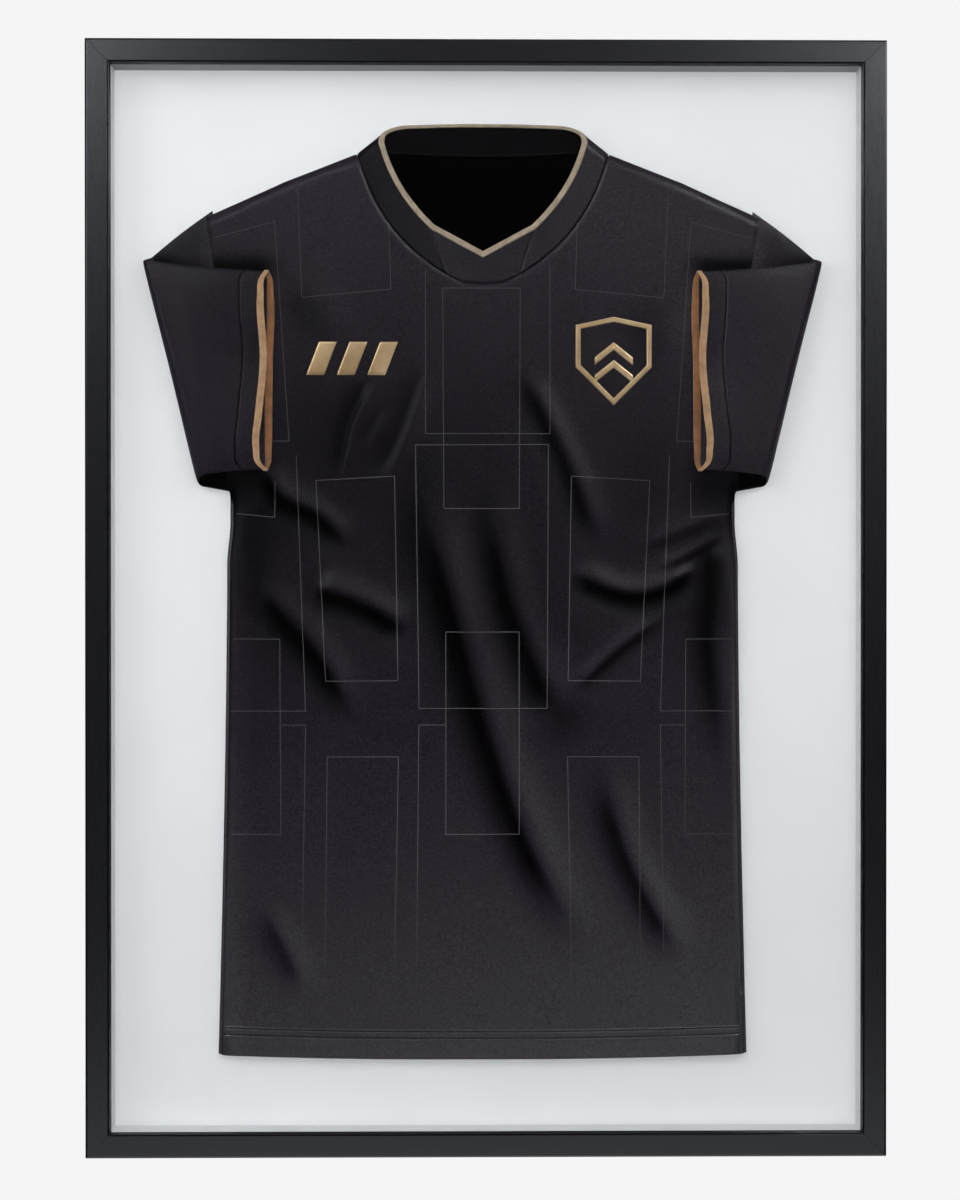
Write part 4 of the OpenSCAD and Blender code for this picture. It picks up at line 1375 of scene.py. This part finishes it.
def add_along_map(piece, length, w, rows, columns):
    """UV map named along: ribs along the band, and place across it from 0 to 1."""
    layer = piece.data.uv_layers.new(name="along")
    loops = np.zeros(len(piece.data.loops), int)
    piece.data.loops.foreach_get("vertex_index", loops)
    row, column = loops // columns, loops % columns
    uv = np.stack([length[np.minimum(row, rows - 1)], w[column] * 0.5 + 0.5], axis=1)
    layer.data.foreach_set("uv", uv.astype(np.float32).ravel())


def tube_faces(rows, columns, closed):
    """Quads of a ring of columns carried over rows, joined at the ends if closed."""
    faces = quads(rows, columns, closed=True).tolist()
    if closed:
        last = (rows - 1) * columns
        faces += [[last + j, last + (j + 1) % columns, (j + 1) % columns, j]
                  for j in range(columns)]
    return faces


print("a tube of 3 rings of 8 has", len(tube_faces(3, 8, False)), "quads")

# %% [markdown]
# ### Neck binding
# Gold tape edges the neck opening. In front it lies on the collar and meets itself in a sharp V.
# Over the back of the neck it is seen from its edge, so there it is narrower and lies deeper.

# %% Neck binding
def neck_line():
    """Middle of the neck binding: the two front sides, sharp at the V, then over the back."""
    side = bezier((80.0, 358.5), (71.0, 322), (39.8, 292.4), 34)
    point = np.linspace((39.8, 292.4), (0, 270.9), 20)[1:]
    right = np.concatenate([side, point])
    left = (right * [-1, 1])[::-1][1:]
    corner = bezier((-80.0, 358.5), (-80.5, 369.5), (-62, 371.6), 14)[1:]
    over = np.linspace((-62, 371.6), (62, 371.6), 40)[1:]
    over[:, 1] += 1.4 * (1 - (over[:, 0] / 62) ** 2)
    corner_right = (corner * [-1, 1])[::-1][1:-1]
    return np.concatenate([right, left, corner, over, corner_right])


line = neck_line()
behind = smooth_step(361, 371, line[:, 1])
neck_width = 4.6 - 1.8 * smooth_step(360, 369, line[:, 1])
front_depth = cloth_y(line[:, 0], np.minimum(line[:, 1], 352)) - 0.2
neck_depth = front_depth * (1 - behind) + (board_y - 3.4) * behind
ring, length, w = band_along(line + [jersey_x, 0], neck_width, 1.25, neck_depth, True)
neck = as_piece("neck_binding_band", ring, tube_faces(*ring.shape[:2], True), NECK_TRIM,
                "neck_trim", ("neck_trim",), sharp=60, outward=True)
add_along_map(neck, length, w, *ring.shape[:2])

# %% [markdown]
# ## Sleeves
# Each sleeve is a flat tube of cloth. It runs out from the shoulder, turns round a vertical
# crease, and comes back over the chest to its cuff. The middle of the tube is a sheet that makes
# this turn, and the tube's two layers stand off it on either side, so one surface makes it all.
# Its lines are set by their ends: v is 0 at the top edge of the sleeve and 1 at its low edge.

# %% Lines of the sleeve
UNDER_Y = board_y - 4.1
TURN_R = 5.2
ARM_U, ARM_Z = (213, 197), (305.5, 84)
CREASE_U, CREASE_Z = (269.0, 226.5), (265.0, 88.0)
CUFF_Z = (257.0, 101.0)
CUFF_SHARE = [0, 0.03, 0.12, 0.45, 0.70, 0.89, 0.975, 1]
FRONT_EDGE = [168.5, 171.5, 172.6, 170.2, 173.6, 176.0, 173.5, 169.5]
BACK_EDGE = [168.5, 166.5, 165.2, 165.8, 166.4, 166.8, 167.8, 169.5]


def between(ends, v):
    """Straight run from the first end at v = 0 to the second at v = 1."""
    return ends[0] + (ends[1] - ends[0]) * v


def soft_values(share, places, values):
    """Smooth curve through values at places, by a cubic between neighbours' slopes."""
    places, values = np.array(places, float), np.array(values, float)
    slope = np.gradient(values, places)
    k = np.clip(np.searchsorted(places, share, side="right") - 1, 0, len(places) - 2)
    step = places[k + 1] - places[k]
    t = (share - places[k]) / step
    return ((2 * t ** 3 - 3 * t ** 2 + 1) * values[k] + (t ** 3 - 2 * t ** 2 + t) * step * slope[k]
            + (3 * t ** 2 - 2 * t ** 3) * values[k + 1] + (t ** 3 - t ** 2) * step * slope[k + 1])


def sleeve_rows():
    """Stages of the sleeve: (stage, share of the stage) for the run out, the turn, the run in."""
    out = [(0, t) for t in np.linspace(0, 1, 26)[:-1]]
    turn = [(1, t) for t in np.linspace(0, 1, 19)[:-1]]
    back = [(2, t) for t in np.linspace(0, 1, 124)]
    return np.array(out + turn + back)


print("sleeve:", len(sleeve_rows()), "rows, cuff", CUFF_Z[0] - CUFF_Z[1], "mm high")


# %% Middle of the sleeve
def sleeve_middle(stage, t, v, on_outer):
    """Straight runs from armhole to crease and from crease to cuff, bowed by half sine waves;
    the angle turns half a circle at the crease, where the low edge rises by v cubed."""
    angle = np.where(stage == 0, 0, np.where(stage == 1, t * math.pi, math.pi))
    out_share, in_share = np.where(stage == 0, t, 1), np.where(stage == 2, t, 0)
    arm_u, arm_z, cuff_z = between(ARM_U, v), between(ARM_Z, v), between(CUFF_Z, v)
    crease_u = between(CREASE_U, v) - TURN_R - 2.4 - 2.0 * np.sin(np.pi * v)
    crease_z = (between(CREASE_Z, v) + 9.5 * v ** 3 * (1 - np.cos(angle)) / 2
                - 1.0 * (1 - v) * np.sin(angle) + 3.2 * (1 - v) ** 3 * (1 + np.cos(angle)) / 2)
    cuff_u = np.where(on_outer, soft_values(v, CUFF_SHARE, FRONT_EDGE),
                      soft_values(v, CUFF_SHARE, BACK_EDGE))
    u = np.where(stage < 2, arm_u + (crease_u - arm_u) * out_share,
                 crease_u + (cuff_u - crease_u) * in_share)
    z = np.where(stage < 2, arm_z + (crease_z - arm_z) * out_share,
                 crease_z + (cuff_z - crease_z) * in_share)
    z = z + 1.2 * np.sin(np.pi * out_share) * (1 - v) ** 2 * (stage == 0)
    z = z + np.sin(np.pi * in_share) * (1.0 * v ** 2 - 1.2 * (1 - v) ** 2) * (stage == 2)
    return u, z, angle, in_share, u - cuff_u


# %% [markdown]
# ### Thickness and painted light of the sleeve
# The two layers are held apart by a card except near the cuff, where the layers nearly meet in
# the middle and the opening takes the shape of a long eye. The cuff has its own hem: a seam, a
# row of stitches and a slightly raised band, with painted shade on the seam and a painted
# highlight on the stitches. The layer that runs out from the shoulder is painted dark as the
# shadow of the flap, and the hollow below the flap is painted black as shade.

# %% Thickness and painted light
UNDER_THICK = 2.2
CUFF_SEAM, CUFF_STITCH = 18.6, 14.6


def sleeve_offset(u, z, v, ply, stage, in_share, from_edge):
    """Ply, from 1 outside to -1 inside, times a thickness that is pinched by a bell round the
    middle of the cuff; on the outer layer also a slow wave and the raised hem."""
    pinch = 1 - 0.86 * np.exp(-((v - 0.47) / 0.17) ** 2) * smooth_step(0.45, 1, in_share)
    flap = (3.3 + 0.5 * np.sin(np.pi * in_share)) * pinch
    thick = np.where(stage < 2, UNDER_THICK, UNDER_THICK + (flap - UNDER_THICK)
                     * smooth_step(0, 0.25, in_share))
    slow = 0.35 * np.sin(z / 27 + u / 19) * smooth_step(0, 0.3, in_share)
    seam = -0.75 * np.exp(-((from_edge - CUFF_SEAM) / 0.6) ** 2)
    hem = seam + 0.30 * smooth_step(18.4, 17.2, from_edge)
    return ply * thick + np.where(ply > 0, slow, 0) + np.where((ply > 0) & (stage == 2), hem, 0)


def sleeve_gap(u, z):
    """Height above the top edge of the folded-back flap, a straight line from cuff to crease."""
    return z - np.interp(u, [168, 262], [258, 264])


def sleeve_painted_light(u, z, v, t, stage, from_edge, on_outer):
    """Painted light as a share of the cloth's shine: about one on the flap, less a bell of painted
    shade at the cuff's seam and a painted highlight at its stitches; less on the run out, with a
    painted highlight at the shoulder, and next to none as painted shade where the flap shades it
    and in the hollow below the flap."""
    seam = np.exp(-((from_edge - CUFF_SEAM) / 0.55) ** 2) * on_outer * (stage == 2)
    stitch = np.exp(-((from_edge - CUFF_STITCH) / 0.4) ** 2) * on_outer * (stage == 2)
    corner = bell(sleeve_gap(u, z), 9, 9) * smooth_step(200, 262, u) * (stage == 0)
    shoulder = bell(u - 214, 7, 7) * (stage == 0)
    shine = (0.9 + 0.25 * v) * (1 - 0.9 * seam) * (1 + 0.35 * stitch)
    shine = np.where(stage == 0, (0.75 + 0.5 * shoulder) * (1 - 0.92 * corner), shine)
    hollow = smooth_step(0.84, 0.91, v) * (1 - 0.8 * smooth_step(0.988, 1, v)) * (stage == 0)
    hollow = hollow + smooth_step(0.93, 0.97, v) * (stage == 1) * (1 - smooth_step(0.25, 0.6, t))
    return shine * (1 - 0.97 * hollow)


# %% Both sleeves
def sleeve_surface(theta):
    """Points of the tube: rows along the sleeve, columns round it from the top edge. The offset
    from the middle turns with the middle's angle: cosine in Y, sine in X."""
    rows = sleeve_rows()
    stage, t = rows[:, :1], rows[:, 1:]
    v = (1 - np.cos(theta))[None, :] / 2
    ply = (np.sign(np.sin(theta)) * np.abs(np.sin(theta)) ** 0.55)[None, :]
    u, z, angle, in_share, from_edge = sleeve_middle(stage, t, v, ply > 0)
    offset = sleeve_offset(u, z, v, ply, stage, in_share, from_edge)
    y = UNDER_Y - TURN_R * (1 - np.cos(angle)) + offset * np.cos(angle)
    y = y + 0.9 * np.sin(np.pi * in_share) * (v - 0.5) * (stage == 2)
    u = u + (TURN_R + offset) * np.sin(angle)
    return u, y, z, sleeve_painted_light(u, z, v, t, stage, from_edge, ply > 0)


theta = np.linspace(0, 2 * math.pi, 176, endpoint=False)
sleeve_u, sleeve_y, sleeve_z, sleeve_painted_light = sleeve_surface(theta)
for side, label in ((-1, "left"), (1, "right")):
    points = np.stack([side * sleeve_u + jersey_x, sleeve_y, sleeve_z], axis=-1)
    faces = quads(*sleeve_u.shape, closed=True)
    if side > 0:
        faces = faces[:, ::-1]
    sleeve = as_piece(f"sleeve_{label}", points, faces, JERSEY, "jersey",
                      (f"sleeve_under_{label}", f"sleeve_outer_{label}",
                       f"sleeve_inner_{label}"))
    # Painted light: the right sleeve is painted brighter, as the light falls from the right.
    add_lustre(sleeve, (0.285 + 0.045 * side) * sleeve_painted_light)
    grid_area(np.concatenate([points, points[:, :1]], axis=1))

# %% [markdown]
# ### Sleeve cards
# Inside each folded sleeve lies a black foam card that keeps it flat. It is a plate with four
# corners, cut well short of the cloth all round, so nothing of it shows.

# %% Sleeve cards
def black_foam():
    """Black foam: the same cells as the white foam, a little lighter where they are high."""
    made = Finish("black_foam", roughness=0.8, Specular_IOR_Level=0.15)
    cell = made.group(MOTTLE, "Value", Scale=500, Detail=2)
    made.link(made.colours(cell, (0.004, 0.004, 0.004), (0.010, 0.010, 0.010)), "Base Color")
    made.bump(cell, 0.0001, 0.5)
    return made.material


BLACK_FOAM = black_foam()
CARD_HALF = 0.9
CARD_OUTLINE = [(185.0, 247.0), (252.0, 249.0), (220.0, 116.0), (185.0, 112.0)]
for side, label in ((-1, "left"), (1, "right")):
    card_y = UNDER_Y - 2 * TURN_R + np.array([-CARD_HALF, CARD_HALF])
    points = np.array([(side * a + jersey_x, y, b) for y in card_y for a, b in CARD_OUTLINE])
    faces = [[0, 1, 2, 3], [7, 6, 5, 4]] + [[k, 4 + k, 4 + (k + 1) % 4, (k + 1) % 4]
                                            for k in range(4)]
    as_piece(f"sleeve_stiffener_{label}", points, faces, BLACK_FOAM, "foam",
             (f"sleeve_card_{label}",), outward=True)

# %% [markdown]
# ### Cuff binding
# A gold tape is folded over the open end of each sleeve, like the letter U. Its line is the last
# ring of the sleeve itself, so it follows the long eye of the opening, and the directions into
# the sleeve and out from the cloth come from that ring and one a little before it.

# %% Cuff binding
CUFF_DEPTH, CUFF_HALF = 5.0, 0.75
BEFORE_EDGE = -5


def cuff_surface(side):
    """U-shaped section carried round the open end: outside face, half circle over the edge,
    inside face; it is a little shallower at the top and low ends of the eye."""
    edge = np.stack([sleeve_u[-1], sleeve_y[-1], sleeve_z[-1]], axis=-1)
    before = np.stack([sleeve_u[BEFORE_EDGE], sleeve_y[BEFORE_EDGE], sleeve_z[BEFORE_EDGE]], -1)
    inward = edge - before
    inward /= np.linalg.norm(inward, axis=1)[:, None]
    round_it = np.roll(edge, -1, axis=0) - np.roll(edge, 1, axis=0)
    round_it /= np.linalg.norm(round_it, axis=1)[:, None]
    out = np.cross(round_it, inward)
    out /= np.linalg.norm(out, axis=1)[:, None]
    centre = edge.mean(axis=0)
    outward = np.sign(((edge - centre) * out).sum(axis=1).mean())
    out = out * outward
    face = np.linspace(-CUFF_DEPTH, 0, 7)
    turn = np.linspace(0, math.pi, 7)[1:-1]
    hidden = [-CUFF_DEPTH - 0.1]
    along = np.concatenate([hidden, face, 0.7 * np.sin(turn), face[::-1], hidden])
    off = np.concatenate([[0.1], np.full(7, CUFF_HALF), CUFF_HALF * np.cos(turn),
                          np.full(7, -CUFF_HALF), [-0.1]])
    tip = 1 - 0.4 * np.abs(np.cos(theta)) ** 6
    points = (edge[:, None] + inward[:, None] * (along[None, :] * tip[:, None])[..., None]
              + out[:, None] * off[None, :, None])
    points[..., 0] = side * points[..., 0] + jersey_x
    return points, np.linspace(-1, 1, len(along))


for side, label in ((-1, "left"), (1, "right")):
    ring, w = cuff_surface(side)
    piece = as_piece(f"cuff_binding_{label}", ring, tube_faces(*ring.shape[:2], True), CUFF_TRIM,
                     "cuff_trim", (f"cuff_trim_{label}",), sharp=60, outward=True)
    steps = np.linalg.norm(np.diff(ring[:, 3], axis=0), axis=1)
    length = np.concatenate([[0], np.cumsum(steps)]) / 0.9
    add_along_map(piece, length, w, *ring.shape[:2])

# %% [markdown]
# ## Printed lines
# Thin grey rectangles are printed on the cloth. Each line is a very thin ribbon laid on the same
# surface function as the cloth, so it follows every fold, and an attribute lets its ink fade.

# %% Printed lines
BOTH_SIDES = [
    [(146, 323), (142.5, 237), (72.5, 243.5), (74.3, 296)],
    [(131.5, 93), (69.7, 96.5), (67, -64.6), (124, -65), (131.5, 93)],
    [(70, -306), (66.6, -124.6), (122.8, -124.6), (124.5, -312)],
    [(197, -31.6), (160, -31.9), (159.2, -185.5), (199, -185.5)],
    [(147, 113), (139.8, -88.5), (199, -88.5)],
    [(159, -99.5), (139.7, -99.5), (143, -300)],
    [(211, 284), (164, 296.5), (152.6, 124), (166, 124)],
    [(194, 67), (164, 64), (163.5, 92)],
]
MIDDLE = [
    [(-31.8, 244.5), (29.3, 244.5), (28.5, 71), (-30.8, 71), (-31.8, 244.5)],
    [(-45.3, 259), (-45.3, 130), (52.7, 130), (52.7, 263)],
    [(-53.2, 121), (51.5, 121.5), (50.5, -86.5), (-50.4, -86.5), (-53.2, 121)],
    [(-29.3, -26.3), (28.5, -26.3), (28.5, -185.8), (-29.3, -185.8), (-29.3, -26.3)],
    [(-30, -99.5), (-50.6, -99.5), (-52.5, -308)],
]
INK_W = 0.44
INK_Z = [-335, -260, -190, -60, 90, 200, 330]
INK = [0.08, 0.50, 0.84, 0.84, 0.60, 0.36, 0.27]
OUTER_LOSS = 0.42
INK_LIFT, INK_THICK = 0.16, 0.12
RIBBON_STEP = 1.6


def ribbon(corners):
    """Straight stretches between corners, each a strip of width INK_W just above the cloth; the
    ink goes by height and falls by OUTER_LOSS towards the sides."""
    parts, inks = [], []
    for a, b in zip(corners[:-1], corners[1:]):
        a, b = np.array(a, float), np.array(b, float)
        length = np.linalg.norm(b - a)
        steps = max(2, int(length / RIBBON_STEP) + 1)
        along = np.linspace(0, 1, steps)[:, None]
        middle = a + (b - a) * along
        d = (b - a) / length
        normal = np.array([-d[1], d[0]]) * INK_W / 2
        offsets = np.array([-1, 1])[None, :, None] * normal[None, None, :]
        flat = middle[:, None, :] + offsets
        y = cloth_y(flat[..., 0], flat[..., 1]) - INK_LIFT
        points = np.stack([flat[..., 0] + jersey_x, y, flat[..., 1]], axis=-1)
        down = np.array([0, INK_THICK, 0])
        ring = np.concatenate([points, points[:, ::-1] + down], axis=1)
        parts.append((ring, tube_faces(steps, 4, False)
                      + [[3, 2, 1, 0], [4 * steps - 4 + k for k in range(4)]]))
        z = np.repeat(middle[:, 1], 4)
        outer = smooth_step(70, 170, np.abs(np.repeat(middle[:, 0], 4)))
        inks.append(np.interp(z, INK_Z, INK) * (1 - OUTER_LOSS * outer))
    return parts, inks


line_parts, line_inks = [], []
for corners in BOTH_SIDES:
    for side in (-1, 1):
        parts, inks = ribbon([(side * p[0], p[1]) for p in corners])
        line_parts += parts
        line_inks += inks
for corners in MIDDLE:
    parts, inks = ribbon(corners)
    line_parts += parts
    line_inks += inks
points, faces = join_parts(line_parts)
lines = as_piece("printed_lines", points, faces, PRINT, "jersey", outward=True)
ink = lines.data.attributes.new("ink", "FLOAT", "POINT")
ink.data.foreach_set("value", np.concatenate(line_inks).astype(np.float32))
print(len(line_parts), "straight stretches of line")

# %% [markdown]
# ## Chest marks
# Two plain gold marks: three slanted bars on one side and a shield with chevrons on the other.
# They are thin film, so each is a crowned patch a fraction of a millimetre above the cloth.

# %% Chest marks
MARK_OUT, MARK_Z = 103, 188
BAR_HALF_W, BAR_HALF_H, BAR_LEAN, BAR_STEP = 7, 13, 5, 24
FILM_RIM, FILM_CROWN = 0.12, 0.33


def film_patch(corner_a, corner_b, corner_c, corner_d, steps=(18, 26)):
    """Four-sided patch of film on the cloth: a point is a mix of the four corners by s across
    and t up. It stands off the cloth everywhere but at its rim."""
    a, b, c, d = (np.array(p, float) for p in (corner_a, corner_b, corner_c, corner_d))
    s = np.linspace(0, 1, steps[0])[None, :, None]
    t = np.linspace(0, 1, steps[1])[:, None, None]
    flat = (a * (1 - s) + b * s) * (1 - t) + (d * (1 - s) + c * s) * t
    y = cloth_y(flat[..., 0], flat[..., 1])
    rim = np.minimum.reduce([np.broadcast_to(x[..., 0], y.shape) for x in (s, 1 - s, t, 1 - t)])
    y = y - FILM_RIM - FILM_CROWN * (rim > 0)
    points = np.stack([flat[..., 0] + jersey_x, y, flat[..., 1]], -1)
    return points, quads(steps[1], steps[0]).tolist()


bars = []
for i in (-1, 0, 1):
    x, z = -MARK_OUT + i * BAR_STEP, MARK_Z + 1
    left, right, low, high = x - BAR_HALF_W, x + BAR_HALF_W, z - BAR_HALF_H, z + BAR_HALF_H
    bars.append(film_patch((left - BAR_LEAN, low), (right - BAR_LEAN, low),
                           (right + BAR_LEAN, high), (left + BAR_LEAN, high)))
as_piece("chest_bars_film", *join_parts(bars), FOIL, "mark", ("chest_bars",))

# %% [markdown]
# ### Shield
# The shield's rim is the same kind of band as the neck binding, with one crown instead of two,
# carried round a plain shield outline. Its two chevrons are four patches of film.

# %% Shield
SHIELD = [(0, 32), (28, 26), (28, -5), (0, -33)]
CHEVRON_HALF, CHEVRON_THICK = 15, 6
right = np.array(SHIELD, float)
loop = np.concatenate([right, (right * [-1, 1])[::-1][1:-1]])
fine = [np.linspace(a, b, 12)[:-1] for a, b in zip(loop, np.roll(loop, -1, axis=0))]
loop = np.concatenate(fine) + [MARK_OUT, MARK_Z]
ring, length, w = band_along(loop + [jersey_x, 0], 4.0, 0.45,
                             cloth_y(loop[:, 0], loop[:, 1]) - 0.1, True, lobes=1)
shield_parts = [(ring, tube_faces(*ring.shape[:2], True))]
for drop in (0, -14):
    for side in (-1, 1):
        tip = (MARK_OUT, MARK_Z + 8 + drop)
        foot = (MARK_OUT + side * CHEVRON_HALF, MARK_Z - 4 + drop)
        corners = [tip, foot, (foot[0], foot[1] + CHEVRON_THICK), (tip[0], tip[1] + CHEVRON_THICK)]
        if side < 0:
            corners = [corners[k] for k in (1, 0, 3, 2)]
        shield_parts.append(film_patch(*corners, steps=(12, 8)))
as_piece("chest_shield_film", *join_parts(shield_parts), FOIL, "mark", ("chest_shield",),
         outward=True)

# %% [markdown]
# ## Floor
# A pale patch of floor lies well below the hanging frame, outside the camera's view. It fades out
# at its rim so that no edge shows from any side.

# %% Floor
def floor_material():
    """Pale floor whose alpha falls from 1 to 0 with the distance from its middle."""
    made = Finish("pale_floor", roughness=0.8)
    tree = made.tree
    made.shader.inputs["Base Color"].default_value = (0.82, 0.82, 0.82, 1)
    place, length = tree.nodes.new("ShaderNodeTexCoord"), tree.nodes.new("ShaderNodeVectorMath")
    length.operation = "LENGTH"
    tree.links.new(place.outputs["Object"], length.inputs[0])
    made.link(made.spread(length.outputs["Value"], 1, 0, 0.35, 1.0), "Alpha")
    return made.material


floor_mesh = bpy.data.meshes.new("floor")
work = bmesh.new()
bmesh.ops.create_circle(work, cap_ends=True, segments=96, radius=1.0)
work.to_mesh(floor_mesh)
work.free()
floor_mesh.materials.append(floor_material())
floor = bpy.data.objects.new("floor", floor_mesh)
floor.location = (0, 0.25, -0.78)
scene.collection.objects.link(floor)
print("floor at", floor.location.z, "m")

# %% [markdown]
